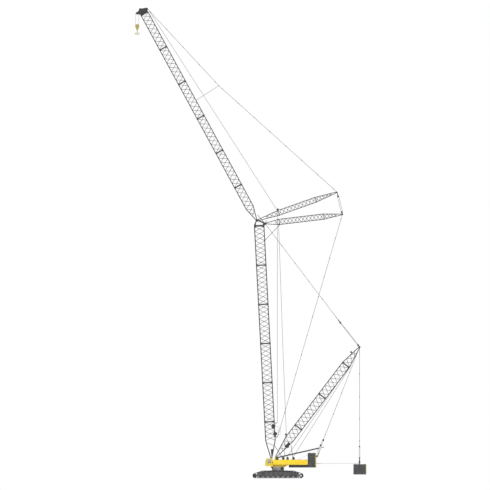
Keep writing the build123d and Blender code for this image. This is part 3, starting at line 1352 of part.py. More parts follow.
def back_stays():
    """The bars from the rear strut's tip to the boom foot, and the cross beam they end on."""
    beam = disc(BACK_STAY_FOOT, 10, 0, BOOM_WIDTH)
    local = BOOM.inverse() * Pos(BACK_STAY_FOOT[0], 0, BACK_STAY_FOOT[1])
    chord_face = BOOM_HALF_DEPTH + BOOM_CHORD + SEAT
    solids = stays(REAR_TIP, BACK_STAY_FOOT, BACK_STAY_LANE, PIN_RADIUS + SEAT, 0)
    for bar in solids:
        beam += bar
    bracket_end = point_on(BOOM_FOOT, BOOM_ANGLE, local.position.Z, chord_face)
    for lane in (-BOOM_WIDTH / 2, BOOM_WIDTH / 2):
        beam += strap(BACK_STAY_FOOT, bracket_end, 22, lane, 16)
    return [beam]


save("back_stays", back_stays())


# Superlift ballast

BALLAST_FRONT = MAST_HEAD[0] - BALLAST_FORWARD
BALLAST_REAR = MAST_HEAD[0] + BALLAST_BACKWARD


def ballast():
    solids = []
    for side in (-1, 1):
        y0, y1 = sorted((side * BALLAST_INNER, side * BALLAST_OUTER))
        solids += slabs(
            BALLAST_FRONT + END_PLATE + SEAT, BALLAST_REAR - END_PLATE - SEAT, y0, y1,
            BALLAST_BOTTOM + BALLAST_TRAY + SEAT, BALLAST_TOP, BALLAST_SLABS,
        )
    return solids


def ballast_frame():
    """The tray with its end plates, the lifting column with the lower tackle block, the moving
    half of the guide, and the falls of the tackle."""
    tray = box(BALLAST_FRONT, BALLAST_REAR, -BALLAST_OUTER, BALLAST_OUTER, BALLAST_BOTTOM, BALLAST_BOTTOM + BALLAST_TRAY)
    mid = MAST_HEAD[0]
    for side in (-1, 1):
        y0, y1 = sorted((side * BALLAST_INNER, side * BALLAST_OUTER))
        for x in (BALLAST_FRONT, BALLAST_REAR - END_PLATE):
            tray += box(x, x + END_PLATE, y0, y1, BALLAST_BOTTOM, BALLAST_TOP)
    top, reach = BALLAST_TOP + COLUMN_RISE, BALLAST_INNER - SEAT
    column = box(mid - COLUMN, mid + COLUMN, -reach, reach, BALLAST_BOTTOM + BALLAST_TRAY + SEAT, top)
    column += plate(
        [(mid - 30, top - 1), (mid + 30, top - 1), (mid + 10, TACKLE_BOTTOM - 40), (mid - 10, TACKLE_BOTTOM - 40)], 0, 24
    )
    column += box(mid - 22, mid + 22, -34, 34, TACKLE_BOTTOM - 42, TACKLE_BOTTOM)
    rod_end = mid - COLUMN - SEAT
    wide, high = GUIDE_ROD_LANE + GUIDE_ROD / 2, GUIDE_ROD_DEPTH / 2
    guide = box(rod_end - COLUMN, rod_end, -wide, wide, GUIDE_HEIGHT - high, GUIDE_HEIGHT + high)
    for lane in (-GUIDE_ROD_LANE, GUIDE_ROD_LANE):
        guide += box(
            GUIDE_ROD_START, rod_end, lane - GUIDE_ROD / 2, lane + GUIDE_ROD / 2, GUIDE_HEIGHT - high, GUIDE_HEIGHT + high
        )
    solids = [tray, column, guide]
    for lane in (-20, 20):
        for x in (mid - 12, mid + 12):
            solids.append(box(x - 3, x + 3, lane - 3, lane + 3, TACKLE_BOTTOM + SEAT, TACKLE_TOP - 42 - SEAT))
    return solids


def ballast_hanger():
    """Two long bars from the mast head down to the upper tackle block."""
    mid = MAST_HEAD[0]
    block = box(mid - 22, mid + 22, -34, 34, TACKLE_TOP - 42, TACKLE_TOP)
    for lane in (-HANGER_LANE, HANGER_LANE):
        block += box(mid - STAY_WIDTH / 2, mid + STAY_WIDTH / 2, lane - 4, lane + 4, TACKLE_TOP - 1, MAST_HEAD[1] - EYE_RADIUS + 4)
        block += disc(MAST_HEAD, EYE_RADIUS, lane, STAY_THICKNESS)
        block -= disc(MAST_HEAD, PIN_RADIUS + PIN_PLAY, lane, 2 * STAY_THICKNESS)
    return [block]


save("ballast", ballast())
save("ballast_frame", ballast_frame())
save("ballast_hanger", ballast_hanger())


# Hook, hung from the jib head

def hook_sheaves():
    sheaves = disc(HOOK_SHEAVE, SHEAVE_RADIUS, 0, 2 * SHEAVE_LANE + SHEAVE_THICKNESS)
    groove = disc(HOOK_SHEAVE, SHEAVE_RADIUS + 10, 0, 2 * SHEAVE_LANE - SHEAVE_THICKNESS)
    groove -= disc(HOOK_SHEAVE, SHEAVE_RADIUS - 16, 0, 4 * SHEAVE_LANE)
    return [sheaves - groove - disc(HOOK_SHEAVE, PIN_RADIUS, 0, 4 * SHEAVE_LANE)]


def hook_falls():
    solids = []
    for x in (HOOK_SHEAVE[0] - SHEAVE_RADIUS - ROPE - SEAT, HOOK_SHEAVE[0] + SHEAVE_RADIUS + ROPE + SEAT):
        for lane in (-SHEAVE_LANE, SHEAVE_LANE):
            low = BLOCK_TOP - BLOCK_SHEAVE_DROP
            height = HOOK_SHEAVE[1] - low
            solids.append(Pos(x, lane, low + height / 2) * Cylinder(ROPE, height))
    return solids


def hook_block():
    """Two cheeks round the block's sheaves, with a crosshead that carries the hook."""
    x, mid = HOOK_SHEAVE[0], BLOCK_TOP - BLOCK_SHEAVE_DROP
    profile = [
        (x - BLOCK_HALF_WIDTH, BLOCK_TOP - 30), (x - 20, BLOCK_TOP), (x + 20, BLOCK_TOP), (x + BLOCK_HALF_WIDTH, BLOCK_TOP - 30),
        (x + BLOCK_HALF_WIDTH, mid - 30), (x + 26, BLOCK_BOTTOM), (x - 26, BLOCK_BOTTOM), (x - BLOCK_HALF_WIDTH, mid - 30),
    ]
    frame = disc((x, mid), SHAFT_RADIUS, 0, 2 * BLOCK_LANE)
    for lane in (-BLOCK_LANE, BLOCK_LANE):
        frame += plate(profile, lane, CHEEK)
    low, high = BLOCK_BOTTOM + CROSSHEAD_BOTTOM, BLOCK_BOTTOM + CROSSHEAD_TOP
    frame += box(x - 22, x + 22, -BLOCK_LANE, BLOCK_LANE, low, high)
    frame -= Pos(x, 0, (low + high) / 2) * Cylinder(SHANK_RADIUS + PIN_PLAY, 2 * (high - low))
    solids = [frame]
    for lane in (-SHEAVE_LANE, SHEAVE_LANE):
        solids.append(disc((x, mid), SHEAVE_RADIUS, lane, SHEAVE_THICKNESS, hole=SHAFT_RADIUS + PIN_PLAY))
    return solids


def hook():
    """A double hook on a round shank, with a nut that rests on the crosshead."""
    x, centre_z = HOOK_SHEAVE[0], HOOK_BOTTOM + HOOK_OUTER
    reach = HOOK_REACH - HOOK_OUTER
    outline = Pos(0, (HOOK_STEM_TOP - HOOK_STEM_DROP) / 2) * Rectangle(2 * HOOK_STEM, HOOK_STEM_TOP + HOOK_STEM_DROP)
    for side in (-1, 1):
        throat = Pos(side * reach, 0) * (Circle(HOOK_OUTER) - Circle(HOOK_INNER))
        outline += throat & (Pos(side * reach, -HOOK_OUTER) * Rectangle(3 * HOOK_OUTER, 2 * HOOK_OUTER))
        root, point = (HOOK_OUTER - HOOK_INNER) / 2, HOOK_POINT / 2
        middle = side * (reach + HOOK_INNER + root)
        outline += Polygon(
            (middle - root, 0), (middle + root, 0), (middle + point, HOOK_TIP), (middle - point, HOOK_TIP), align=None
        )
    front = Plane(origin=(x, 0, centre_z), x_dir=(1, 0, 0), z_dir=(0, -1, 0))
    blade = extrude(front * outline, amount=HOOK_THICKNESS / 2, both=True)
    low, nut_low = centre_z + HOOK_STEM_TOP - SHANK_RADIUS, BLOCK_BOTTOM + CROSSHEAD_TOP + SEAT
    shank = Pos(x, 0, (low + nut_low + NUT_HEIGHT / 2) / 2) * Cylinder(SHANK_RADIUS, nut_low + NUT_HEIGHT / 2 - low)
    nut = Pos(x, 0, nut_low + NUT_HEIGHT / 2) * Cylinder(NUT_RADIUS, NUT_HEIGHT)
    return [blade + shank + nut]


save("hook_sheaves", hook_sheaves())
save("hook_falls", hook_falls())
save("hook_block", hook_block())
save("hook", hook())
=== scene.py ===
# %% [markdown]
# # A crawler crane, dressed for its picture
#
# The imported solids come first: they are the real pieces at their real size, a tenth of
# the crane's. What follows gives them paint and wear, and lays round tubes, ropes and
# fittings over the plain forms. Lengths are in metres, the ground is at Z = 0, and the
# boom leans towards -X.

# %% Load the frame
import json
from math import acos, atan2, cos, hypot, pi, radians, sin

import bmesh
import bpy
import numpy as np
from mathutils import Matrix, Vector

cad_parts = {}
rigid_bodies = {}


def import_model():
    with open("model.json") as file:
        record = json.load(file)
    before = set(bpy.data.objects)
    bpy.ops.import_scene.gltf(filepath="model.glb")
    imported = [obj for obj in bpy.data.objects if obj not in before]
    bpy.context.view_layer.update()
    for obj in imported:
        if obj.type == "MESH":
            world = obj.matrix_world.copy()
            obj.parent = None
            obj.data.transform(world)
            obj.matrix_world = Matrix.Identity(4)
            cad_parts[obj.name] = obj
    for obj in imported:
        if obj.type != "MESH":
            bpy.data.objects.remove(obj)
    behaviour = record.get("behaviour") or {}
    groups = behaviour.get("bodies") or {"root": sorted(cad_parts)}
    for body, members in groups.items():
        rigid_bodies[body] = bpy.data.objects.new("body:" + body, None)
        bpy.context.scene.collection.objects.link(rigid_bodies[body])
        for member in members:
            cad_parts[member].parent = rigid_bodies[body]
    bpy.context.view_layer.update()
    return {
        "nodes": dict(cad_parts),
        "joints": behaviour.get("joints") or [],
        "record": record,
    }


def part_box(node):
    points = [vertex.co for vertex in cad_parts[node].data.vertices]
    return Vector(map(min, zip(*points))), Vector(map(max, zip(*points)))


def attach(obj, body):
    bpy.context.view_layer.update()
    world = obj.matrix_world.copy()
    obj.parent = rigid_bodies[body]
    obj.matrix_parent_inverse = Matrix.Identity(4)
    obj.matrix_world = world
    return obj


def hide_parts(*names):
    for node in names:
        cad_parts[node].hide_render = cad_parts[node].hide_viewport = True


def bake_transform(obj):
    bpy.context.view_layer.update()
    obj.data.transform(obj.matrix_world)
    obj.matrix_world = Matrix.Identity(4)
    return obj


for leftover in list(bpy.data.objects):
    bpy.data.objects.remove(leftover)      # the cube, lamp and camera of an empty file
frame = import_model()
nodes = frame["nodes"]
pivots = {j["name"]: j.get("pos_m") for j in frame["joints"]}

# %% [markdown]
# ## The camera
#
# The picture is a flat side view, as in a data sheet: every upright stays upright and
# nothing gets smaller with distance. A perspective camera far away could come close, but
# an orthographic one is exactly that view, so its scale is the width of the picture.

# %% Camera
PIXEL = 0.0306              # metres of crane for one pixel of the picture
PICTURE = 490               # pixels on a side
VIEW_X, VIEW_Z = -1.010, 7.139
CAMERA_DISTANCE = 30.0

camera = bpy.data.objects.new("camera", bpy.data.cameras.new("camera"))
bpy.context.scene.collection.objects.link(camera)
camera.data.type = "ORTHO"
camera.data.ortho_scale = PIXEL * PICTURE
camera.location = (VIEW_X, -CAMERA_DISTANCE, VIEW_Z)
camera.rotation_euler = (pi / 2, 0, 0)
camera.data.clip_end = 200.0
bpy.context.scene.camera = camera
print("picture width in metres:", round(camera.data.ortho_scale, 3))

# %% [markdown]
# ## Numbers that paint themselves
#
# A finish is a small sum: so much base colour, less where it is scuffed, more where dust
# settles. Drawn by hand that is a web of Math nodes. Here one class stands for a socket
# and turns Python's own signs into those nodes, so a finish reads as an expression.

# %% Shader arithmetic
class Value:
    """A socket to calculate with: + - and * add Math nodes."""

    def __init__(self, tree, socket):
        self.tree, self.socket = tree, socket

    def math(self, operation, *terms):
        node = self.tree.nodes.new("ShaderNodeMath")
        node.operation = operation
        for place, term in zip(node.inputs, terms):
            if isinstance(term, Value):
                self.tree.links.new(term.socket, place)
            else:
                place.default_value = term
        return Value(self.tree, node.outputs[0])

    def __add__(self, other):
        return self.math("ADD", self, other)

    def __sub__(self, other):
        return self.math("SUBTRACT", self, other)

    def __rsub__(self, other):
        return self.math("SUBTRACT", other, self)

    def __mul__(self, other):
        return self.math("MULTIPLY", self, other)

    __radd__, __rmul__ = __add__, __mul__

    def above(self, low, high):
        """0 below low, 1 above high, with a soft step between."""
        node = self.tree.nodes.new("ShaderNodeMapRange")
        node.interpolation_type = "SMOOTHSTEP"
        self.tree.links.new(self.socket, node.inputs["Value"])
        node.inputs["From Min"].default_value = low
        node.inputs["From Max"].default_value = high
        return Value(self.tree, node.outputs[0])


class Finish:
    """A material under construction: one shader, and whatever feeds it."""

    def __init__(self, name, fixed=None):
        self.material = bpy.data.materials.new(name)
        self.material.use_nodes = True
        self.tree = self.material.node_tree
        self.shader = self.tree.nodes["Principled BSDF"]
        for socket, value in (fixed or {}).items():
            self.shader.inputs[socket].default_value = value
        self.place = self.add("ShaderNodeTexCoord", out="Object")

    def add(self, kind, settings=None, sockets=None, out=0):
        """Any node: its settings first, then the values or links of its sockets."""
        node = self.tree.nodes.new(kind)
        for name, value in (settings or {}).items():
            setattr(node, name, value)
        for key, value in (sockets or {}).items():
            if isinstance(value, Value):
                self.tree.links.new(value.socket, node.inputs[key])
            else:
                node.inputs[key].default_value = value
        return Value(self.tree, node.outputs[out])

    def noise(self, scale, detail=3.0, rough=0.55, stretch=None):
        """Cloudy grain, scale to the metre; stretch squeezes it along an axis."""
        where = self.place
        if stretch:
            squeeze = {0: where, 1: stretch}
            where = self.add("ShaderNodeVectorMath", {"operation": "MULTIPLY"}, squeeze)
        sockets = {"Vector": where, "Scale": scale, "Detail": detail, "Roughness": rough}
        return self.add("ShaderNodeTexNoise", None, sockets)

    def axis(self, name):
        """One coordinate of the place on the piece, in metres."""
        return self.add("ShaderNodeSeparateXYZ", None, {0: self.place}, out=name)

    def within(self, name, low, high, blur=0.0004):
        """1 where one coordinate lies between two places, 0 elsewhere."""
        place = self.axis(name)
        return place.above(low - blur, low + blur) * (1.0 - place.above(high - blur, high + blur))

    def mark(self, k):
        """What the mould noted for a point: around and along a tube, or worn faces."""
        ring = self.add("ShaderNodeAttribute", {"attribute_name": "ring"}, out="Vector")
        return self.add("ShaderNodeSeparateXYZ", None, {0: ring}, out=k)

    def mix(self, share, low, high):
        """A colour between two others."""
        colours = {6: low, 7: high}
        for key, colour in colours.items():
            if not isinstance(colour, Value):
                colours[key] = (*colour, 1.0)
        return self.add("ShaderNodeMix", {"data_type": "RGBA"}, {0: share, **colours}, out=2)

    def feed(self, socket, value):
        self.tree.links.new(value.socket, self.shader.inputs[socket])

    def bump(self, height, strength, distance):
        sockets = {"Height": height, "Strength": strength, "Distance": distance}
        self.feed("Normal", self.add("ShaderNodeBump", None, sockets))


finishes = {}
print("finishes are sums of nodes from here on")

# %% [markdown]
# ## Enamel on sheet steel
#
# The house and cab are sprayed in bright yellow enamel. New paint is glossy with a faint
# orange-peel skin; on site it dulls where rain runs down and where dust sits near the
# ground. An image of paint would repeat and need unwrapping, so the skin, the streaks
# and the dust each come from noise at their own scale. The lattice work, frames and
# plates wear the same paint in other colours, so one function makes them all.

# %% Enamels
DUST = (0.46, 0.42, 0.36)
PRIMER = (0.20, 0.17, 0.15)
BLACK, OLIVE, PALE = (0.024, 0.025, 0.028), (0.42, 0.36, 0.030), (0.52, 0.53, 0.54)
PEEL = 0.25                 # how much the orange peel stands out


def enamel(name, colour, deep, gloss=0.32, dust=0.25, dust_top=0.5, chips=0.35, coat=0.35, zones=()):
    """Sprayed paint: two near colours, rain streaks, chips down to primer, dust low down.
    A zone is another colour between limits: (colour, (axis, low, high), ...)."""
    f = Finish(name, {"Coat Roughness": 0.2})
    cloud = f.noise(2.2, 4.0)
    streak = f.noise(9.0, 5.0, 0.6, stretch=(6.0, 6.0, 0.35))
    chip = f.noise(60.0, 6.0, 0.62)
    skin = f.noise(520.0, 2.0)
    paint = f.mix(cloud.above(0.35, 0.7), colour, deep)
    for other, *limits in zones:
        inside = 1.0
        for axis, low, high in limits:
            inside = f.within(axis, low, high) * inside
        paint = f.mix(inside, paint, other)
    paint = f.mix(streak.above(0.52, 0.78) * 0.3, paint, PRIMER)
    chipped = chip.above(0.71 - 0.06 * chips, 0.74 - 0.05 * chips) * chips
    paint = f.mix(chipped, paint, PRIMER)
    low = (1.0 - f.axis("Z").above(0.0, dust_top)) * f.noise(14.0, 5.0).above(0.35, 0.75) * dust
    f.feed("Base Color", f.mix(low, paint, DUST))
    f.feed("Roughness", gloss + 0.22 * cloud.above(0.3, 0.8) + 0.3 * chipped + 0.35 * low)
    f.feed("Coat Weight", coat * (1.0 - 0.8 * chipped) * (1.0 - 0.8 * low))
    f.bump(PEEL * skin - 1.2 * chipped + 0.4 * low, 0.35, 0.0006)
    finishes[name] = f.material
    return f.material


ENAMELS = (
    # name, colour, deeper colour, gloss, dust, height that dust reaches, chips, coat
    ("yellow_paint", (0.93, 0.66, 0.004), (0.90, 0.60, 0.004), 0.28, 0.10, 0.45, 0.08, 0.35),
    ("tube_paint", (0.016, 0.016, 0.018), (0.028, 0.028, 0.030), 0.50, 0.15, 0.90, 0.30, 0.08),
    ("frame_paint", (0.014, 0.014, 0.016), (0.028, 0.028, 0.030), 0.50, 0.20, 0.40, 0.30, 0.10),
    ("grey_paint", (0.50, 0.51, 0.52), (0.41, 0.42, 0.44), 0.36, 0.15, 0.30, 0.25, 0.30),
    ("slate_paint", (0.055, 0.062, 0.090), (0.040, 0.046, 0.068), 0.40, 0.15, 0.45, 0.30, 0.20),
    ("edge_paint", (0.42, 0.36, 0.030), (0.33, 0.28, 0.028), 0.38, 0.25, 0.45, 0.40, 0.25),
    ("hook_paint", (0.44, 0.36, 0.060), (0.34, 0.28, 0.050), 0.40, 0.20, 0.50, 0.55, 0.25),
    ("guard_paint", (0.60, 0.60, 0.60), (0.50, 0.50, 0.51), 0.40, 0.10, 0.90, 0.30, 0.20),
    ("cab_paint", (0.70, 0.54, 0.020), (0.62, 0.46, 0.020), 0.28, 0.05, 0.45, 0.05, 0.35),
    ("panel_paint", (0.050, 0.051, 0.054), (0.036, 0.037, 0.039), 0.46, 0.20, 0.30, 0.35, 0.10),
)
for row in ENAMELS:
    enamel(*row)
print("enamels:", sorted(finishes))

# %% [markdown]
# ## Bare and working metal
#
# Track shoes are cast, black with soil, and rubbed bright where they meet the ground.
# Ballast slabs are cast too, sprayed thinly, so the sand of the mould still shows.
# Pendant bars are rolled and coated. These differ from paint mostly in how rough the
# skin is and in where bare metal shines through. One function with a switch for each
# case could make them all, but each reads better as its own short sum.

# %% Metals
def cast_tracks():
    f = Finish("track_steel")
    grain = f.noise(190.0, 6.0, 0.7)
    soil = f.noise(11.0, 6.0, 0.65)
    rubbed = f.mark(0).above(0.35, 0.9) * f.noise(55.0).above(0.25, 0.6)
    colour = f.mix(soil.above(0.45, 0.75) * 0.35, (0.012, 0.012, 0.013), (0.045, 0.041, 0.036))
    f.feed("Base Color", f.mix(rubbed, colour, (0.30, 0.30, 0.29)))
    f.feed("Metallic", 0.10 + 0.40 * rubbed)
    f.feed("Roughness", 0.62 + 0.25 * soil - 0.25 * rubbed)
    f.bump(grain + 2.0 * soil.above(0.5, 0.8), 0.6, 0.0012)
    return f.material


def cast_slabs():
    f = Finish("ballast_iron")
    sand = f.noise(240.0, 6.0, 0.72)
    cloud = f.noise(5.0, 5.0)
    rust = f.noise(26.0, 6.0, 0.6, stretch=(1.0, 1.0, 0.4)).above(0.66, 0.74) * 0.5
    colour = f.mix(cloud.above(0.35, 0.7), (0.034, 0.035, 0.037), (0.050, 0.051, 0.054))
    f.feed("Base Color", f.mix(rust, colour, (0.075, 0.055, 0.045)))
    f.feed("Roughness", 0.58 + 0.25 * sand)
    f.bump(sand + 0.6 * cloud, 0.5, 0.0010)
    return f.material


def rolled_bars():
    f = Finish("stay_steel", {"Metallic": 0.2})
    scale = f.noise(70.0, 5.0, 0.6, stretch=(1.0, 1.0, 0.2))
    cloud = f.noise(6.0, 3.0)
    f.feed("Base Color", f.mix(cloud.above(0.3, 0.75), (0.030, 0.030, 0.032), (0.055, 0.055, 0.058)))
    f.feed("Roughness", 0.42 + 0.3 * scale)
    f.bump(scale, 0.3, 0.0006)
    return f.material


def machined(name, colour, scuffed):
    f = Finish(name, {"Metallic": 0.9})
    ring = f.noise(30.0, 4.0, 0.5, stretch=(1.0, 12.0, 1.0))
    grease = f.noise(16.0, 5.0).above(0.48, 0.7)
    f.feed("Base Color", f.mix(grease * 0.7, colour, scuffed))
    f.feed("Roughness", 0.28 + 0.25 * ring + 0.2 * grease)
    f.bump(ring, 0.15, 0.0004)
    return f.material


finishes["track_steel"] = cast_tracks()
finishes["ballast_iron"] = cast_slabs()
finishes["stay_steel"] = rolled_bars()
finishes["drum_steel"] = machined("drum_steel", (0.16, 0.16, 0.17), (0.05, 0.045, 0.04))
finishes["pin_steel"] = machined("pin_steel", (0.42, 0.42, 0.43), (0.14, 0.12, 0.10))
print("finishes:", len(finishes))

# %% [markdown]
# ## Wire rope
#
# A rope is six strands twisted together. Modelling strands on metres of rope a few
# millimetres thick would cost more triangles than the crane itself, so each rope is a
# smooth tube that remembers how far along and around every point is. The finish turns
# those two numbers into the slant of the strands, raised as bump, with painted shade in
# the grooves between them and a painted highlight on their crowns.

# %% Rope finish
STRANDS = 6
ROPE_LAY = 0.045            # one full twist

def wire_rope():
    f = Finish("rope_steel", {"Metallic": 0.4})
    side, other, along = (f.mark(k) for k in range(3))
    phase = (side.math("ARCTAN2", other, side) + along * (2 * pi / ROPE_LAY)) * STRANDS
    strand_relief_and_groove_shade = phase.math("SINE", phase) * 0.5 + 0.5
    grease = f.noise(22.0, 5.0).above(0.4, 0.75)
    # Painted shade and highlight: the grooves between strands are painted darker and the crowns lighter.
    f.feed("Base Color", f.mix(strand_relief_and_groove_shade, (0.020, 0.019, 0.018), (0.085, 0.082, 0.080)))
    f.feed("Roughness", 0.4 + 0.3 * grease)
    f.bump(strand_relief_and_groove_shade, 0.8, 0.0008)
    return f.material


finishes["rope_steel"] = wire_rope()
print("rope twists once in", ROPE_LAY, "m")

# %% [markdown]
# ## Glass, rubber and lamps
#
# Cab panes are thin and slightly smoked. Glass that bends light would need thick panes
# and many bounces. A thin pane hardly bends it, so it is kept half clear, and the sky
# still shines on it. Seat, handles and trim are dull black plastic, and what is walked
# on is dark sheet with raised diamonds.

# %% Small finishes
def cab_glazing():
    f = Finish("cab_glass", {"Alpha": 0.36, "IOR": 1.45})
    smear = f.noise(18.0, 5.0, 0.6, stretch=(1.0, 1.0, 0.3))
    f.feed("Base Color", f.mix(smear.above(0.5, 0.8), (0.42, 0.43, 0.50), (0.50, 0.51, 0.56)))
    f.feed("Roughness", 0.03 + 0.12 * smear.above(0.55, 0.85))
    f.material.surface_render_method = "BLENDED"
    return f.material


def dull_plastic():
    f = Finish("dark_rubber")
    grain = f.noise(420.0, 3.0)
    f.feed("Base Color", f.mix(f.noise(12.0).above(0.4, 0.8), (0.018, 0.018, 0.018), (0.040, 0.038, 0.036)))
    f.feed("Roughness", 0.62 + 0.2 * grain)
    f.bump(grain, 0.4, 0.0004)
    return f.material


def lamp_glass():
    f = Finish("lamp_glass", {"IOR": 1.5, "Coat Weight": 0.6})
    ribs = f.noise(300.0, 1.0, 0.5, stretch=(1.0, 6.0, 1.0))
    f.feed("Base Color", f.mix(ribs, (0.75, 0.75, 0.70), (0.95, 0.95, 0.92)))
    f.feed("Roughness", 0.12 + 0.1 * ribs)
    f.bump(ribs, 0.4, 0.0006)
    return f.material


def floor_plates():
    """Dark sheet with raised diamonds, for what is walked on."""
    f = Finish("tread_plate", {"Metallic": 0.3})
    sockets = {"Vector": f.place, "Scale": 190.0, "Randomness": 0.15}
    grid = f.add("ShaderNodeTexVoronoi", {"feature": "F1"}, sockets)
    worn = f.noise(8.0, 5.0).above(0.45, 0.7)
    f.feed("Base Color", f.mix(worn, (0.045, 0.046, 0.050), (0.12, 0.12, 0.125)))
    f.feed("Roughness", 0.5 + 0.25 * worn)
    f.bump(1.0 - grid.above(0.15, 0.4), 0.6, 0.0008)
    return f.material


finishes["cab_glass"] = cab_glazing()
finishes["dark_rubber"] = dull_plastic()
finishes["lamp_glass"] = lamp_glass()
finishes["tread_plate"] = floor_plates()
print("finishes in all:", len(finishes))

# %% [markdown]
# ## A mould for many small pieces
#
# A crane is thousands of tubes, plates and pins. One Blender object for each would be
# slow, and modifiers to array them would hide how they are placed. So one class gathers
# the points and faces of everything that belongs together, and makes a single mesh of
# it at the end. Tubes also note where a point lies around and along them.

# %% Mould
SHARP_ANGLE = 38            # degrees between faces, above which an edge shows


class Mould:
    """Points and faces of one piece, in metres, in the crane's own frame."""

    def __init__(self, place=None):
        self.points, self.faces, self.rings, self.count = [], [], [], 0
        self.place = np.array(place if place is not None else Matrix.Identity(4), float)

    def add(self, points, faces, rings=None):
        points = np.asarray(points, float) @ self.place[:3, :3].T + self.place[:3, 3]
        self.points.append(points)
        self.rings.append(np.zeros((len(points), 3)) if rings is None else rings)
        self.faces += [tuple(i + self.count for i in face) for face in faces]
        self.count += len(points)

    def tube(self, path, radius, sides=10):
        """A capped round tube through points."""
        path = np.asarray(path, float)
        steps = np.diff(path, axis=0)
        steps /= np.linalg.norm(steps, axis=1)[:, None]
        tangents = np.vstack([steps[:1], steps[:-1] + steps[1:], steps[-1:]])
        tangents /= np.linalg.norm(tangents, axis=1)[:, None]
        across = np.cross(tangents[0], (0, 1, 0) if abs(tangents[0][1]) < 0.9 else (1, 0, 0))
        angle = np.arange(sides) * 2 * pi / sides
        points, rings, run = [], [], 0.0
        for i, (centre, tangent) in enumerate(zip(path, tangents)):
            across -= tangent * (across @ tangent)
            across /= np.linalg.norm(across)
            other = np.cross(tangent, across)
            run += np.linalg.norm(centre - path[i - 1]) if i else 0.0
            stretch = 1.0 / max(0.5, tangent @ steps[min(i, len(steps) - 1)])
            spoke = np.outer(np.cos(angle), across) * stretch + np.outer(np.sin(angle), other)
            points.append(centre + radius * spoke)
            rings.append(np.column_stack([np.cos(angle), np.sin(angle), np.full(sides, run)]))
        faces, last = [], (len(path) - 1) * sides
        for k in range(0, last, sides):
            for i in range(sides):
                j = (i + 1) % sides
                faces.append((k + i, k + j, k + sides + j, k + sides + i))
        faces += [tuple(reversed(range(sides))), tuple(range(last, last + sides))]
        self.add(np.vstack(points), faces, np.vstack(rings))

    def loft(self, sections, worn=None):
        """Outlines of the side view, (x, z), each at its own Y, joined; worn marks every point."""
        n = len(sections[0][1])
        points = [(x, y, z) for y, outline in sections for x, z in outline]
        last = (len(sections) - 1) * n
        faces = [tuple(range(n)), tuple(reversed(range(last, last + n)))]
        for k in range(0, last, n):
            faces += [(k + (i + 1) % n, k + i, k + n + i, k + n + (i + 1) % n) for i in range(n)]
        rings = None if worn is None else np.outer(worn, (1, 0, 0))
        self.add(points, faces, rings)

    def prism(self, outline, y0, y1):
        """An outline of the side view drawn out from y0 to y1."""
        self.loft([(y0, outline), (y1, outline)])

    def block(self, low, high):
        (x0, y0, z0), (x1, y1, z1) = low, high
        self.prism([(x0, z0), (x1, z0), (x1, z1), (x0, z1)], y0, y1)

    def wheel(self, centre, profile, sides=36):
        """A turned piece about an axis along Y: profile is a closed list of (radius, y)."""
        n = len(profile)
        points = []
        for k in range(sides):
            a = 2 * pi * k / sides
            points += [(centre[0] + r * cos(a), y, centre[1] + r * sin(a)) for r, y in profile]
        faces = []
        for k in range(sides):
            j = (k + 1) % sides
            faces += [(k * n + i, j * n + i, j * n + (i + 1) % n, k * n + (i + 1) % n) for i in range(n)]
        self.add(points, faces)

    def pin(self, centre, radius, y0, y1, sides=16):
        self.tube([(centre[0], y0, centre[1]), (centre[0], y1, centre[1])], radius, sides)

    def bolt(self, spot, y, out, size):
        """One hexagon head on a face that looks along Y."""
        self.pin(spot, size, y, y + out * 0.8 * size, 6)

    def bolts(self, centre, ring, count, y, out, size):
        """Hexagon heads in a circle."""
        for k in range(count):
            a = 2 * pi * (k + 0.5) / count
            self.bolt((centre[0] + ring * cos(a), centre[1] + ring * sin(a)), y, out, size)

    def strap(self, start, end, width, y, thickness):
        """A flat bar between two points of the side view."""
        run = Vector((end[0] - start[0], end[1] - start[1])).normalized() * (width / 2)
        (x0, z0), (x1, z1) = start, end
        outline = [(x0 + run.y, z0 - run.x), (x1 + run.y, z1 - run.x),
                   (x1 - run.y, z1 + run.x), (x0 - run.y, z0 + run.x)]
        self.prism(outline, y - thickness / 2, y + thickness / 2)

    def piece(self, name, finish, body, replaces=(), slot=None, soft_edge=0.0):
        mesh = bpy.data.meshes.new(name)
        mesh.from_pydata(np.vstack(self.points).tolist(), [], self.faces)
        shell = bmesh.new()
        shell.from_mesh(mesh)
        bmesh.ops.recalc_face_normals(shell, faces=shell.faces)
        shell.to_mesh(mesh)
        shell.free()
        ring = mesh.attributes.new("ring", "FLOAT_VECTOR", "POINT")
        ring.data.foreach_set("vector", np.vstack(self.rings).astype(np.float32).ravel())
        mesh.polygons.foreach_set("use_smooth", [True] * len(mesh.polygons))
        mesh.set_sharp_from_angle(angle=radians(SHARP_ANGLE))
        mesh.materials.append(finishes[finish])
        thing = bpy.data.objects.new(name, mesh)
        bpy.context.scene.collection.objects.link(thing)
        if soft_edge:
            round_edges(thing, soft_edge)
        if replaces:
            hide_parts(*replaces)
        slot or finish in slots
        if isinstance(body, str):
            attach(thing, body)
        else:
            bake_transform(thing)
        return thing


def round_edges(thing, width):
    """Edges of plates are broken, never knife sharp: a thin bevel catches the light."""
    bevel = thing.modifiers.new("broken_edges", "BEVEL")
    bevel.width, bevel.segments = width, 1
    bevel.limit_method, bevel.angle_limit = "ANGLE", radians(50)


slots = {m["slot"] for m in frame["record"]["materials"]}
print("slots in the record:", len(slots))

# %% [markdown]
# ## Where things are
#
# The main pins are joints, so their places come with the frame. They could be typed in
# again, but would then drift from the solids. What has no joint, such as the tip of the
# front strut, keeps its real place here as a named value.

# %% Places
def flat(point):
    """The side view of a place: X and Z."""
    return (point[0], point[2])


def along(foot, angle):
    """The frame of a member: its own Z runs along it, its X across it."""
    a = radians(angle)
    return Matrix(((sin(a), 0, cos(a), foot[0]), (0, 1, 0, 0), (-cos(a), 0, sin(a), foot[1]), (0, 0, 0, 1)))


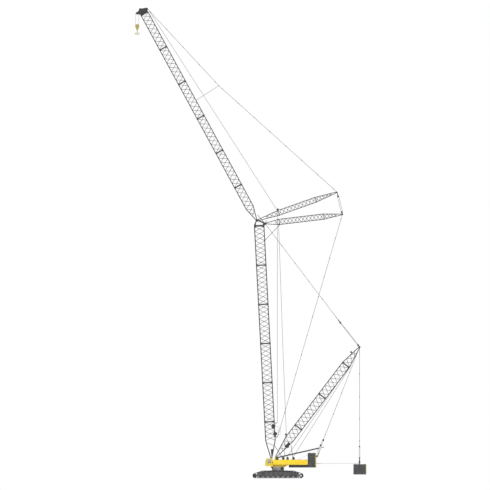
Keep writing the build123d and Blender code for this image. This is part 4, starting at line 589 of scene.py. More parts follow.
def on(foot, angle, s, n=0.0):
    """The side-view point s along a member and n across it."""
    a = radians(angle)
    return (foot[0] + s * cos(a) + n * sin(a), foot[1] + s * sin(a) - n * cos(a))


def between(a, b, distance):
    """The side-view point at a distance from a towards b."""
    reach = hypot(b[0] - a[0], b[1] - a[1])
    return (a[0] + (b[0] - a[0]) * distance / reach, a[1] + (b[1] - a[1]) * distance / reach)


BOOM_ANGLE, JIB_ANGLE, MAST_ANGLE = 93.0, 118.5, 52.7
FRONT_STRUT_ANGLE, REAR_STRUT_ANGLE = 19.5, 6.8
boom_foot = flat(pivots["boom_luff"])
jib_foot = flat(pivots["jib_luff"])
mast_foot = flat(pivots["mast_luff"])
mast_top = flat(pivots["boom_tackle_swing"])
rear_tip = flat(pivots["luff_tackle_swing"])
mast_tackle_pin = flat(pivots["mast_tackle_swing"])
hook_pin = flat(pivots["sheave_swing"])
rear_foot = (-0.396, 7.794)
FRONT_STRUT_LENGTH, REAR_STRUT_LENGTH, MAST_LENGTH = 2.606, 2.383, 4.250
front_tip = on(jib_foot, FRONT_STRUT_ANGLE, FRONT_STRUT_LENGTH)
spreader = (1.867, 4.813)
mast_spreader = (1.392, 1.187)
jib_stay_head = (-4.009, 14.382)
jib_prop_top = (-1.812, 12.014)
back_stay_foot = (-0.015, 1.264)
print("tip of the front strut:", [round(v, 3) for v in front_tip])

# %% [markdown]
# ## Lattice work
#
# Boom, jib, mast and struts are welded from round tubes: four chords carry the load,
# thin lacing keeps them apart, and frames close every section's ends, where the next
# one is pinned on. The plain solids have flat-sided chords and square bars. Curves with
# a bevel could make round tubes, but every tube here is straight, so the mould makes
# them directly, each lacing tube running into its chord as a welded joint does.

# %% Lattice
LACING = 0.0068             # radius
FRAME_TUBE = 0.0068
COLLAR = 0.026
SEAM = 0.0006               # gap between two sections
LEG_END = 0.052             # where the chords of a leg end in its forged eye
LEG_HALF, STRUT_HALF = 0.020, 0.016
EYE, EYE_RIM = 0.026, 0.003
GUIDE_SHAFT, EAR = 0.008, 0.004


def half_depth(outline, s):
    for (d0, s0), (d1, s1) in zip(outline, outline[1:]):
        if s <= s1 or s1 == outline[-1][1]:
            return d0 + (d1 - d0) * (s - s0) / (s1 - s0)


def zigzag(mould, start, end, pitch, corner):
    """Tubes from side to side: corner gives the point on a side, s along the member."""
    steps = max(1, round((end - start) / pitch))
    step = (end - start) / steps
    for i in range(steps):
        side = (-1) ** i
        mould.tube([corner(side, start + i * step), corner(-side, start + (i + 1) * step)], LACING, 8)


def lacing(mould, outline, start, end, width, pitch, faces):
    """Zigzags on both sides, and at twice the pitch on the front and rear."""
    for y, first in ((-width / 2, 1), (width / 2, -1)):
        zigzag(mould, start, end, pitch, lambda side, s: (first * side * half_depth(outline, s), y, s))
    for face in faces:
        zigzag(mould, start, end, 2 * pitch,
               lambda side, s: (face * half_depth(outline, s), face * side * width / 2, s))


def end_frame(mould, outline, s, width, inward):
    """A rectangle of tubes with one diagonal, at an end of a section."""
    at = s + inward * FRAME_TUBE
    d, w = half_depth(outline, at), width / 2
    corners = [(-d, -w, at), (d, -w, at), (d, w, at), (-d, w, at)]
    for a, b in zip(corners, corners[1:] + corners[:1]):
        mould.tube([a, b], FRAME_TUBE, 10)
    mould.tube([(-d, -w, at + inward * LACING), (d, w, at + inward * LACING)], LACING, 8)


def lattice(mould, outline, width, radius, pitch, laced=None, framed=(), faces=(-1, 1)):
    """Four chords with their lacing; laced gives from where to where, framed which ends have a frame."""
    for side in (-1, 1):
        for y in (-width / 2, width / 2):
            mould.tube([(side * d, y, s) for d, s in outline], radius, 16)
    low, high = laced or (outline[0][1], outline[-1][1])
    for (_, s0), (_, s1) in zip(outline, outline[1:]):
        a, b = max(s0, low), min(s1, high)
        if b - a < pitch / 2:
            continue
        room = 2 * FRAME_TUBE
        a += room if s0 in framed else 0
        b -= room if s1 in framed else 0
        lacing(mould, outline, a, b, width, pitch, faces)
    for s in framed:
        inward = 1 if s == outline[0][1] else -1
        end_frame(mould, outline, s, width, inward)


def couplings(mould, outline, s, width, radius, inward):
    """The pinned ends of the chords: a thicker collar and a cross pin at each."""
    d = half_depth(outline, s)
    for side in (-1, 1):
        for y in (-width / 2, width / 2):
            x = side * d
            mould.tube([(x, y, s), (x, y, s + inward * COLLAR)], radius * 1.22, 16)
            pin = s + inward * COLLAR * 0.55
            mould.pin((x, pin), radius * 0.38, y - radius * 1.6, y + radius * 1.6, 12)


def leg_end(mould, half, radius, y, top, eye):
    """The forged end of a leg: a block under both chords that narrows to an eye."""
    d = half + radius
    arc = [(eye * sin(a), -eye * cos(a)) for a in np.linspace(-pi / 2, pi / 2, 13)]
    mould.prism([(-d, top), *arc, (d, top)], y - radius, y + radius)
    for out in (-1, 1):
        face = y + out * radius
        rim = face + out * EYE_RIM
        ring = [(eye * 0.62, face), (eye * 0.62, rim), (eye * 0.9, rim), (eye * 0.9, face)]
        mould.wheel((0, 0), ring[::out], 28)


def guide_wheels(name, body, mould, half, radius, width, s, rise):
    """Two rope sheaves over the back of a member; their shaft and ears join the mould."""
    back = half(s) + radius
    shaft, crown = (-back - rise, s), 0.012
    mould.pin(shaft, GUIDE_SHAFT, -width / 2 - EAR, width / 2 + EAR, 20)
    foot = [(-half(t) - radius + 0.002, t) for t in (s - 0.022, s + 0.022)]
    ear = foot + [(shaft[0] - crown, s + crown), (shaft[0] - crown, s - crown)]
    for out in (-1, 1):
        y = out * width / 2
        mould.prism(ear, y - EAR, y + EAR)
        mould.bolt(shaft, y + out * EAR, out, 0.009)
    wheels = Mould(mould.place)
    for y in (-0.016, 0.016):
        sheave(wheels, shaft, 0.030, y, 0.010, GUIDE_SHAFT)
    wheels.piece(name, "drum_steel", body)


def sheave(mould, centre, radius, y, width, bore=0.012):
    """A rope sheave: a grooved rim, a thin web and a hub."""
    h = width / 2
    profile = [
        (bore, y - h), (bore * 1.6, y - h), (bore * 1.7, y - h * 0.45), (radius * 0.78, y - h * 0.4),
        (radius * 0.84, y - h), (radius, y - h), (radius * 0.88, y), (radius, y + h), (radius * 0.84, y + h),
        (radius * 0.78, y + h * 0.4), (bore * 1.7, y + h * 0.45), (bore * 1.6, y + h), (bore, y + h),
    ]
    mould.wheel(centre, profile, 40)


print("lacing tubes are", round(2000 * LACING, 1), "mm thick")

# %% [markdown]
# ## Main boom, jib and mast
#
# Each member is a foot of two tapering legs, a row of equal sections, and a head. An
# array modifier could repeat one section, but each stands in for a solid of its own. So
# the same drawing is made again for each, and a short table holds what differs.

# %% Sections
MEMBERS = {
    # name: foot, angle, body, half depth, width, chord radius,
    #       foot end, taper, sections, length of one, pitch of the lacing, where lacing starts
    "boom": (boom_foot, BOOM_ANGLE, "boom", 0.145, 0.320, 0.015, 1.140, 0.568, 5, 1.200, 0.143, 0.520),
    "jib": (jib_foot, JIB_ANGLE, "jib", 0.120, 0.260, 0.013, 1.200, 0.450, 4, 1.200, 0.143, 0.195),
    "mast": (mast_foot, MAST_ANGLE, "mast", 0.130, 0.400, 0.013, 1.160, 0.700, 2, 1.200, 0.150, 0.280),
}
MAST_HEAD_TAPER, JIB_HEAD_END = 3.570, 7.205
MAST_GUIDE, MAST_GUIDE_RISE = 0.757, 0.034
GUSSET = 0.075


def boom_foot_plates(mould, outline, width, chord):
    """Wedges of plate along the rear legs, a diagonal over each, and a bar across."""
    low, high, reach, plate = 0.055, 0.300, 0.068, 0.008
    brace_low, brace_high, bar = 0.405, 0.510, high - 0.0135
    front, rear = half_depth(outline, brace_low), half_depth(outline, brace_high)
    near, far = (half_depth(outline, s) - chord for s in (low, high))
    for y in (-width / 2, width / 2):
        mould.prism([(near, low), (far, high), (far - reach, high)], y - plate, y + plate)
        mould.tube([(front, y, brace_low), (-rear, y, brace_high)], LACING, 8)
    x = half_depth(outline, high) - chord - reach / 2
    mould.tube([(x, -width / 2, bar), (x, width / 2, bar)], FRAME_TUBE, 10)


def mast_half(s):
    """Half depth of the mast, which tapers at both ends."""
    half, taper = MEMBERS["mast"][3], MEMBERS["mast"][7]
    tip = (LEG_HALF, MAST_LENGTH - LEG_END)
    return half_depth([(LEG_HALF, LEG_END), (half, taper), (half, MAST_HEAD_TAPER), tip], s)


def corner_plates(mould, half, width, s):
    """Triangles of plate in the corners under a joint."""
    for y in (-width / 2, width / 2):
        for side in (-1, 1):
            x = side * half
            mould.prism([(x, s), (x - side * GUSSET, s), (x, s - GUSSET)], y - 0.003, y + 0.003)


def build_member(name):
    foot, angle, body, half, width, chord, foot_end, taper, sections, length, pitch, bare = MEMBERS[name]
    place = along(foot, angle)
    mould = Mould(place)
    outline = [(LEG_HALF, LEG_END), (half, taper), (half, foot_end)]
    lattice(mould, outline, width, chord, pitch, (bare, foot_end), (foot_end,), (-1,))
    couplings(mould, outline, foot_end, width, chord, -1)
    for y in (-width / 2, width / 2):
        leg_end(mould, LEG_HALF, chord, y, LEG_END, EYE)
    if name == "boom":
        boom_foot_plates(mould, outline, width, chord)
    if name == "mast":
        guide_wheels("mast_low_sheaves", body, mould, mast_half, chord, width, MAST_GUIDE, MAST_GUIDE_RISE)
    mould.piece(f"{name}_foot_tubes", "tube_paint", body, [f"{name}_foot"])
    for i in range(sections):
        s0 = foot_end + i * length + SEAM / 2
        s1 = s0 + length - SEAM
        outline = [(half, s0), (half, s1)]
        mould = Mould(place)
        lattice(mould, outline, width, chord, pitch, None, (s0, s1))
        couplings(mould, outline, s0, width, chord, 1)
        couplings(mould, outline, s1, width, chord, -1)
        if name == "boom" and i == sections - 1:
            corner_plates(mould, half, width, s1)
        mould.piece(f"{name}_tubes_{i + 1}", "tube_paint", body, [f"{name}_insert_{i + 1}"])
    return foot_end + sections * length


member_ends = {name: build_member(name) for name in MEMBERS}
print("heads start at", {k: round(v, 3) for k, v in member_ends.items()})

# %% [markdown]
# ## The struts of the jib
#
# Two lattice struts spread the ropes that hold the jib. They taper at both ends and
# carry a shaft at the tip, where pendants and rope blocks hang. A straight section could
# be scaled to a taper, but its tubes would get thinner with it. So a strut is drawn like
# a boom section, with an outline of its own.

# %% Struts
STRUTS = {
    # name: foot, angle, length, half depth, width, tapers, body
    "front_strut": (jib_foot, FRONT_STRUT_ANGLE, FRONT_STRUT_LENGTH, 0.077, 0.200, (0.700, 1.900), "jib"),
    "rear_strut": (rear_foot, REAR_STRUT_ANGLE, REAR_STRUT_LENGTH, 0.082, 0.250, (0.425, 1.800), "boom"),
}
STRUT_CHORD, STRUT_PITCH = 0.011, 0.118
PIN = 0.012
PROP_PLACE, PROP_LANE = 6.709, 0.100    # along the boom, and to each side of its middle
PROP_PIN, PROP_SEAT = 0.008, 0.0083
HANGER_REACH, HANGER_WIDTH, HANGER_PLATE = 0.062, 0.024, 0.008


def tip_end(mould, half, radius, y, low, length):
    """The block at the far end of a strut or mast that holds the shaft."""
    d = half + radius
    mould.prism([(-d, low), (d, low), (EYE * 0.8, length), (0, length + EYE * 0.85), (-EYE * 0.8, length)],
                y - radius, y + radius)


def strut_prop(mould, top):
    """The frame that props the rear strut on the back of the boom."""
    half, _, chord = MEMBERS["boom"][3:6]
    low = on(boom_foot, BOOM_ANGLE, PROP_PLACE, half + chord + PROP_SEAT)
    mould.place = np.identity(4)
    mould.pin(top, PROP_PIN, -0.136, 0.136, 20)
    mould.pin(low, PROP_PIN, -0.175, 0.175, 20)
    for y in (-PROP_LANE, PROP_LANE):
        mould.tube([(top[0], y, top[1]), (low[0], y, low[1])], 0.0075, 14)
        for place in (top, low):
            mould.pin(place, 0.013, y - 0.010, y + 0.010, 20)


def build_strut(name):
    foot, angle, length, half, width, (t0, t1), body = STRUTS[name]
    mould = Mould(along(foot, angle))
    outline = [(STRUT_HALF, LEG_END), (half, t0), (half, t1), (STRUT_HALF, length - LEG_END)]
    laced = (LEG_END + 2 * STRUT_PITCH, length - LEG_END - STRUT_PITCH)
    lattice(mould, outline, width, STRUT_CHORD, STRUT_PITCH, laced)
    for s in (t0, t1):
        end_frame(mould, outline, s, width, 1)
        couplings(mould, outline, s, width, STRUT_CHORD, 1)
    for y in (-width / 2, width / 2):
        leg_end(mould, STRUT_HALF, STRUT_CHORD, y, LEG_END, EYE)
        tip_end(mould, STRUT_HALF, STRUT_CHORD, y, length - LEG_END, length)
    mould.pin((0, length), PIN, -width / 2, width / 2, 24)
    if name == "front_strut":
        guide_wheels("knee_sheaves", body, mould, lambda s: half, STRUT_CHORD, width, 0.722, 0.024)
        aim = between(front_tip, rear_tip, HANGER_REACH)
        mould.place = np.identity(4)
        for y in (-0.0317, 0.0317):
            mould.strap(front_tip, aim, HANGER_WIDTH, y, HANGER_PLATE)
    else:
        strut_prop(mould, on(foot, angle, t0, half + STRUT_CHORD + PROP_SEAT))
    mould.piece(f"{name}_tubes", "tube_paint", body, [name])


for name in STRUTS:
    build_strut(name)
print("struts:", *STRUTS)

# %% [markdown]
# ## Heads
#
# The jib's head holds the sheaves that the hoist rope runs over, between two cheek
# plates on a stiff beam. The mast's head is two blocks with a shaft. Both stand on the
# last stretch of lattice. The plates could be cut from blocks with booleans, but a plate
# is an outline with a thickness, so it is drawn as one.

# %% Heads
SHEAVE, SHEAVE_WIDTH, SHEAVE_LANE = 0.044, 0.014, 0.016
SHEAVE_AXLE = (-0.055, 7.377)           # in the jib's own frame
CHEEK_LANE, CHEEK_PLATE, CHEEK_BOSS = 0.042, 0.004, 0.0065


def jib_head():
    foot, angle, body, half, width, chord, *_, pitch, _ = MEMBERS["jib"]
    place = along(foot, angle)
    start, end = member_ends["jib"] + SEAM / 2, JIB_HEAD_END
    mould = Mould(place)
    outline = [(half, start), (half, end)]
    lattice(mould, outline, width, chord, pitch, None, (start, end))
    couplings(mould, outline, start, width, chord, 1)
    mould.piece("jib_head_tubes", "tube_paint", body)
    back = place.inverted()
    hook = flat(back @ Vector((hook_pin[0], 0, hook_pin[1])))
    stay = flat(back @ Vector((jib_stay_head[0], 0, jib_stay_head[1])))
    outer, side, low = half + chord, width / 2 + chord, end
    plates = Mould(place)
    plates.block((-outer, -side, low), (outer, side, low + 0.012))
    plates.block((-outer, -side, low), (-outer + 0.008, side, low + 0.021))
    plates.block((outer - 0.008, -side, low), (outer, side, low + 0.021))
    cheek = [
        (hook[0] - 0.014, hook[1] - 0.016), (-outer + 0.020, low + 0.010), (outer - 0.020, low + 0.010),
        (stay[0] + 0.020, stay[1] - 0.014), (stay[0] + 0.012, stay[1] + 0.020), (0.040, stay[1] + 0.060),
        (-0.060, stay[1] + 0.096), (-0.090, stay[1] + 0.070), (hook[0] - 0.014, hook[1] + 0.018),
    ]
    for y in (-CHEEK_LANE, CHEEK_LANE):
        plates.prism(cheek, y - CHEEK_PLATE, y + CHEEK_PLATE)
        for spot in (hook, stay, SHEAVE_AXLE):
            plates.pin(spot, 0.019, y - CHEEK_BOSS, y + CHEEK_BOSS, 20)
    gusset = [(-0.030, low + 0.010), (0.030, low + 0.010), (0.010, low + 0.055), (-0.010, low + 0.055)]
    for y in (-width / 2, width / 2):
        plates.prism(gusset, y - 0.003, y + 0.003)
    plates.pin(hook, PIN - 0.0001, -0.050, 0.050, 24)
    plates.pin(stay, 0.010, -0.080, 0.080, 24)
    plates.piece("jib_head_plates", "tube_paint", body, ["jib_head"], soft_edge=0.0008)
    wheels = Mould(place)
    for y in (-SHEAVE_LANE, SHEAVE_LANE):
        sheave(wheels, SHEAVE_AXLE, SHEAVE, y, SHEAVE_WIDTH, 0.008)
    wheels.piece("jib_head_sheaves", "drum_steel", body)
    print("hook pin in the jib's frame:", [round(v, 3) for v in hook])


def mast_head():
    foot, angle, body, half, width, chord, *_, pitch, _ = MEMBERS["mast"]
    start, last = member_ends["mast"] + SEAM / 2, MAST_LENGTH - LEG_END
    mould = Mould(along(foot, angle))
    outline = [(half, start), (half, MAST_HEAD_TAPER + SEAM), (LEG_HALF, last)]
    lattice(mould, outline, width, chord, pitch, (start, last - pitch), (start,))
    couplings(mould, outline, start, width, chord, 1)
    for y in (-width / 2, width / 2):
        tip_end(mould, LEG_HALF, chord, y, last, MAST_LENGTH)
    mould.pin((0, MAST_LENGTH), PIN, -width / 2, width / 2, 24)
    for y in (-0.150, -0.125, 0.125, 0.150):
        sheave(mould, (0, MAST_LENGTH), 0.030, y, 0.010, PIN)
    guide_wheels("mast_high_sheaves", body, mould, mast_half, chord, width, 3.971, 0.040)
    mould.place = np.identity(4)
    aim = between(mast_top, mast_spreader, HANGER_REACH)
    for y in (-0.0517, 0.0517):
        mould.strap(mast_top, aim, HANGER_WIDTH, y, HANGER_PLATE)
    mould.piece("mast_head_tubes", "tube_paint", body, ["mast_head"])


jib_head()
mast_head()

# %% [markdown]
# ## Pendants and their links
#
# Boom and struts are tied by pendants: flat bars of a few metres each, joined by pairs
# of link plates with pins. The solids have the bars. An array along a curve could set
# out the links, but they have to start and end near the pins, so their places are
# counted out along each bar. The long lines get the knots that the real ones show.

# %% Link plates
LINK_SPACING, LINK_FIRST = 0.600, 0.15
LINK_LENGTH, LINK_WIDTH, LINK_PLATE = 0.046, 0.019, 0.0035


def links(name, body, start, end, lanes):
    """Pairs of link plates with two pins, at an even spacing along bars."""
    mould = Mould()
    reach = hypot(end[0] - start[0], end[1] - start[1])
    count = max(1, int((reach - 2 * LINK_FIRST) / LINK_SPACING) + 1)
    for i in range(count):
        s = LINK_FIRST + i * (reach - 2 * LINK_FIRST) / max(1, count - 1)
        a, b = between(start, end, s - LINK_LENGTH / 2), between(start, end, s + LINK_LENGTH / 2)
        for lane in lanes:
            for side in (-1, 1):
                mould.strap(a, b, LINK_WIDTH, lane + side * 0.006, LINK_PLATE)
            for end_point in (between(a, b, 0.008), between(b, a, 0.008)):
                mould.pin(end_point, 0.0055, lane - 0.010, lane + 0.010, 12)
    mould.piece(name, "stay_steel", body)


HANGER_LOW = 0.994          # where the hanger of the ballast ends in its sheave block
links("boom_stay_links", "boom_stays", spreader, rear_foot, (-0.199, 0.199))
links("mast_stay_links", "mast_stays", mast_spreader, mast_top, (-0.060, 0.060))
links("back_stay_links", "boom", rear_tip, back_stay_foot, (-0.070, 0.070))
links("jib_stay_upper_links", "jib", jib_stay_head, jib_prop_top, (-0.084, 0.084))
links("jib_stay_lower_links", "jib", jib_prop_top, front_tip, (-0.084, 0.084))
links("hanger_links", "ballast_hanger", mast_top, (mast_top[0], HANGER_LOW), (-0.026, 0.026))
print("one link pair every", LINK_SPACING, "m")

# %% [markdown]
# ## Running ropes
#
# Ropes between two blocks run in several parts side by side, and they get longer or
# shorter as a winch pulls. In the frame that is a slide; here each bundle is drawn as
# straight tubes from one block to the other, left where they are drawn. Other ropes only
# cross a hinge, and are drawn as one tube through points of the side view.

# %% Ropes
ROPE = 0.0052


def reeved(name, bodies, a, b, near, far, lanes, radius=ROPE, half_spread=0.010):
    """Rope parts between two blocks, fanned a little so that they leave both sheave sides."""
    start, end = between(a, b, near), between(b, a, far)
    run = Vector((b[0] - a[0], b[1] - a[1])).normalized()
    mould = Mould()
    for k, lane in enumerate(lanes):
        off = half_spread * (-1) ** k
        x, z = -run.y * off, run.x * off
        p, q = (start[0] + x, lane, start[1] + z), (end[0] + x, lane, end[1] + z)
        mould.tube([p, q], radius, 8)
    turn = ((start[0], 0, start[1]), (end[0], 0, end[1]))
    mould.piece(name, "rope_steel", (*bodies, *turn), slot="rope_steel")


def laid(name, points, bodies, lane, turn=None):
    """A rope through points of the side view; turn gives where it passes from one body to the next."""
    mould = Mould()
    path = []
    for (x0, z0), (x1, z1) in zip(points, points[1:]):
        reach = hypot(x1 - x0, z1 - z0)
        for s in np.linspace(0, 1, max(2, int(reach / 0.08)))[:-1]:
            path.append((x0 + (x1 - x0) * s, lane, z0 + (z1 - z0) * s))
    path.append((points[-1][0], lane, points[-1][1]))
    mould.tube(path, ROPE, 8)
    where = bodies if turn is None else (*bodies, *turn)
    mould.piece(name, "rope_steel", where, slot="rope_steel")


def spread(count, reach):
    return [round(y, 5) for y in np.linspace(-reach, reach, count)]


reeved("boom_tackle_ropes", ("boom_tackle", "boom_stays"), mast_top, spreader, 0.060, -0.060,
       spread(10, 0.092))
reeved("luff_ropes", ("luff_tackle", "luff_block"), rear_tip, front_tip, 0.060, 0.120,
       spread(6, 0.030), half_spread=0.022)
reeved("mast_tackle_ropes", ("mast_tackle", "mast_stays"), mast_tackle_pin, mast_spreader, 0.042, 0.010,
       spread(6, 0.050), half_spread=0.018)
ballast_x = mast_top[0]
reeved("ballast_ropes", ("ballast_hanger", "ballast"), (ballast_x, HANGER_LOW), (ballast_x, 0.643),
       0.042, 0.0, (-0.020, -0.020, 0.020, 0.020), radius=0.0048, half_spread=0.012)

FALL, FALL_GAP = 0.0035, 0.0038         # radius of a part, and how far it stands off the sheave
hook_falls_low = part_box("hook_falls")[0].z
falls = Mould()
for side in (-1, 1):
    for lane in (-SHEAVE_LANE, SHEAVE_LANE):
        x = hook_pin[0] + side * (SHEAVE + FALL_GAP)
        falls.tube([(x, lane, hook_pin[1]), (x, lane, hook_falls_low)], FALL, 10)
falls.piece("hook_ropes", "rope_steel",
            ("hook_falls", "hook_block", (hook_pin[0], 0, hook_pin[1]), (hook_pin[0], 0, hook_falls_low)),
            ["hook_falls"])

HOIST_LANE, LUFF_LANE = 0.030, -0.045
head_roller, knee = (-3.990, 14.382), (-0.018, 8.191)
bracket, strut_knee = (0.257, 1.331), (0.020, 7.750)
laid("hoist_rope_upper", [head_roller, knee], "jib", HOIST_LANE)
laid("hoist_rope_lower", [(-0.116, 1.642), (-0.030, 1.706), (-0.021, 1.716), (-0.0205, 7.60), knee],
     ("boom", "jib"), HOIST_LANE, ((-0.02, 0, 7.92), (-0.018, 0, 8.19)))
laid("luff_rope", [bracket, (0.168, 3.462), strut_knee],
     ("upper", "boom"), LUFF_LANE, ((0.257, 0, 1.331), (0.176, 0, 3.25)))
laid("luff_rope_low", [(0.196, 0.622), (0.227, 1.331)], "upper", LUFF_LANE)

MAST_ROPES = (
    # drum, where the rope leaves the deck, its end on the mast, lane
    ((0.2643, 0.6364), (0.327, 0.737), (2.160, 3.395), 0.030),
    ((0.4466, 0.6352), (0.526, 0.753), (2.225, 3.440), -0.030),
)
TURN_REACH = 1.0            # metres over which a mast rope passes to the mast
for k, (drum, low, top, lane) in enumerate(MAST_ROPES, 1):
    high = between(low, top, TURN_REACH)
    laid(f"mast_rope_{k}", [drum, low, top], ("upper", "mast"), lane,
         ((low[0], 0, low[1]), (high[0], 0, high[1])))
print("ropes are", round(2000 * ROPE, 1), "mm thick")

# %% [markdown]
# ## Crawler tracks
#
# A crawler track is a chain of cast shoes, each with two bars that bite the ground, on a
# pair of link rails with pins. An array modifier along a curve could lay them out, but
# it shears every shoe a little at the bends. Here each shoe stands on its own chord of
# the loop, rigid as a casting is, and its highest faces are noted as worn, which the
# finish shows as rubbed metal.

# %% Tracks
WHEELBASE, END_RADIUS, TOP_HEIGHT, TOP_LENGTH = 1.406, 0.082, 0.240, 0.960
SHOES, SHOE_GAP, SHOE_WIDTH, GAUGE = 54, 0.005, 0.200, 0.900
BAR_HEIGHT, SHOE_PLATE, LINK_SEAT, LINK_INNER = 0.004, 0.0095, 0.0135, 0.020
SHOE_TAPER, SHOE_ROUND, RAIL_LANE, RAIL = 0.007, 0.003, 0.055, 0.007
LINK_PIN, LINK_PIN_DEPTH, LINK_PIN_PROUD = 0.004, 0.0147, 0.003
END_STEPS = 60              # points around one end of the loop
TRACKS = {"left": -GAUGE / 2, "right": GAUGE / 2}


def track_loop():
    """The outer line of a track as closely spaced points of the side view."""
    cx, r, px = WHEELBASE / 2, END_RADIUS, TOP_LENGTH / 2
    reach = hypot(px - cx, TOP_HEIGHT - r)
    lift = atan2(TOP_HEIGHT - r, px - cx) - acos(r / reach)
    end = [(cx + r * cos(a), r + r * sin(a)) for a in np.linspace(-pi / 2, lift, END_STEPS)]
    back = [(-x, z) for x, z in reversed(end)]
    return np.array([(-cx, 0.0), *end, (px, TOP_HEIGHT), (-px, TOP_HEIGHT), *back])


LOOP = track_loop()
RUN = np.concatenate([[0.0], np.cumsum(np.linalg.norm(np.diff(LOOP, axis=0), axis=1))])


def on_track(t):
    return np.array([np.interp(t % RUN[-1], RUN, LOOP[:, k]) for k in (0, 1)])


def shoe_outline(length):
    """A shoe seen from its end, as (along, inwards): two bars, the plate, the seat of the links."""
    a, b, c, d = 0.006, 0.009, 0.016, 0.019
    ground = [(0, BAR_HEIGHT), (a, BAR_HEIGHT), (b, 0), (c, 0), (d, BAR_HEIGHT)]
    far = [(length - u, n) for u, n in reversed(ground)]
    return ground + far + [(length, SHOE_PLATE), (length - a, LINK_SEAT), (a, LINK_SEAT), (0, SHOE_PLATE)]


def link_outline(length):
    low, high, tip, cut = SHOE_PLATE, LINK_INNER, 0.002, 0.003
    return [(-tip, low + tip), (cut, low), (length - cut, low), (length + tip, low + tip),
            (length + tip, high - tip), (length - cut, high), (cut, high), (-tip, high - tip)]


def build_track(name, middle):
    mould = Mould()
    pitch = RUN[-1] / SHOES
    half = SHOE_WIDTH / 2
    for i in range(SHOES):
        p, q = on_track(i * pitch + SHOE_GAP / 2), on_track((i + 1) * pitch - SHOE_GAP / 2)
        length = np.linalg.norm(q - p)
        u = (q - p) / length
        n = np.array([-u[1], u[0]])
        shoe = shoe_outline(length)
        end = [(a + (SHOE_ROUND if a < length / 2 else -SHOE_ROUND), min(max(b, BAR_HEIGHT), SHOE_PLATE))
               for a, b in shoe]
        full, narrow, link = (
            [tuple(p + u * a + n * b) for a, b in line] for line in (shoe, end, link_outline(length)))
        plain, rubbed = [0.0] * len(shoe), [1.0 if b == 0 else 0.0 for _, b in shoe]
        mould.loft([(middle - half, narrow), (middle - half + SHOE_TAPER, full),
                    (middle + half - SHOE_TAPER, full), (middle + half, narrow)],
                   plain + rubbed + rubbed + plain)
        for lane in (-RAIL_LANE, RAIL_LANE):
            mould.prism(link, middle + lane - RAIL, middle + lane + RAIL)
        reach = RAIL_LANE + RAIL + LINK_PIN_PROUD
        mould.pin(p + n * LINK_PIN_DEPTH, LINK_PIN, middle - reach, middle + reach, 8)
    mould.piece(f"{name}_shoes", "track_steel", "undercarriage", [name])


for name, middle in TRACKS.items():
    build_track(f"track_{name}", middle)
print("a shoe every", round(1000 * RUN[-1] / SHOES, 1), "mm")

# %% [markdown]
# ## Fittings of the undercarriage
#
# Each side frame is a welded box. What shows on it are bolted covers between its ribs,
# the caps of its rollers and end wheels, and at the rear the pale ring of the drive.
# They could be painted on as bump, but they catch light at their edges, so they are
# small solids.

# %% Side frame fittings
FRAME_FACE, HUB_FACE, ROLLER_FACE = 0.075, 0.0688, 0.060
WHEEL_HEIGHT, ROLLER_HEIGHT, ROLLER_REACH, ROLLERS = 0.082, 0.0413, 0.6197, 9
ROLLER_PLACES = np.linspace(-ROLLER_REACH, ROLLER_REACH, ROLLERS)
BAYS = [-0.35 + 0.14 * i for i in range(6)]
COVER, COVER_CORNER, COVER_MARGIN = 0.003, 0.004, 0.007


def cover(mould, low, high, face, out):
    """A bolted plate on a face that looks along Y, from corner to corner in the side view."""
    (x0, z0), (x1, z1) = low, high
    c, y = COVER_CORNER, face + out * COVER
    outline = [(x0 + c, z0), (x1 - c, z0), (x1, z0 + c), (x1, z1 - c),
               (x1 - c, z1), (x0 + c, z1), (x0, z1 - c), (x0, z0 + c)]
    mould.prism(outline, *sorted((face, y)))
    for x in (x0 + COVER_MARGIN, x1 - COVER_MARGIN):
        for z in (z0 + COVER_MARGIN, z1 - COVER_MARGIN):
            mould.bolt((x, z), y, out, 0.0022)


def hub(mould, x, middle, out, radius=0.030):
    """A stepped cap with a circle of bolts over the shaft of an end wheel."""
    y = middle + out * HUB_FACE
    profile = [(0.003, y), (radius, y), (radius, y + out * 0.005), (radius - 0.004, y + out * 0.009),
               (0.014, y + out * 0.009), (0.012, y + out * 0.013), (0.003, y + out * 0.013)]
    mould.wheel((x, WHEEL_HEIGHT), profile, 32)
    mould.bolts((x, WHEEL_HEIGHT), 0.020, 8, y + out * 0.009, out, 0.0028)


for name, middle in TRACKS.items():
    covers, caps, drive = Mould(), Mould(), Mould()
    for out in (-1, 1):
        for x in BAYS:
            cover(covers, (x - 0.052, 0.068), (x + 0.052, 0.098), middle + out * FRAME_FACE, out)
            cover(covers, (x - 0.056, 0.118), (x + 0.056, 0.196), middle + out * FRAME_FACE, out)
        for x in ROLLER_PLACES:
            y = middle + out * ROLLER_FACE
            caps.pin((x, ROLLER_HEIGHT), 0.012, y, y + out * 0.007, 20)
            caps.bolt((x, ROLLER_HEIGHT), y + out * 0.007, out, 0.005)
        hub(caps, -WHEELBASE / 2, middle, out)
        hub(drive, WHEELBASE / 2, middle, out, 0.033)
    covers.piece(f"frame_covers_{name}", "panel_paint", "undercarriage")
    caps.piece(f"roller_caps_{name}", "frame_paint", "undercarriage")
    drive.piece(f"drive_hubs_{name}", "guard_paint", "undercarriage")
print("covers on each side of a frame:", 2 * len(BAYS))

# %% [markdown]
# ## What fills the track
#
# From the side a crawler looks solid: between the rollers hang the brackets that carry
# them, and under the sloping runs lie the skids that the chain slides over. A dark
# sheet would close the view from the side but not from a corner. Both are blocks between
# the link rails, so they are drawn in side view and given their width.

# %% Roller brackets and chain skids
BRACKET_LOW, BRACKET_HIGH, BRACKET_REACH, ROLLER_ROOM = 0.0225, 0.0624, 0.058, 0.023
SKID_REACH, CHAIN_DEPTH = 0.045, 0.0225


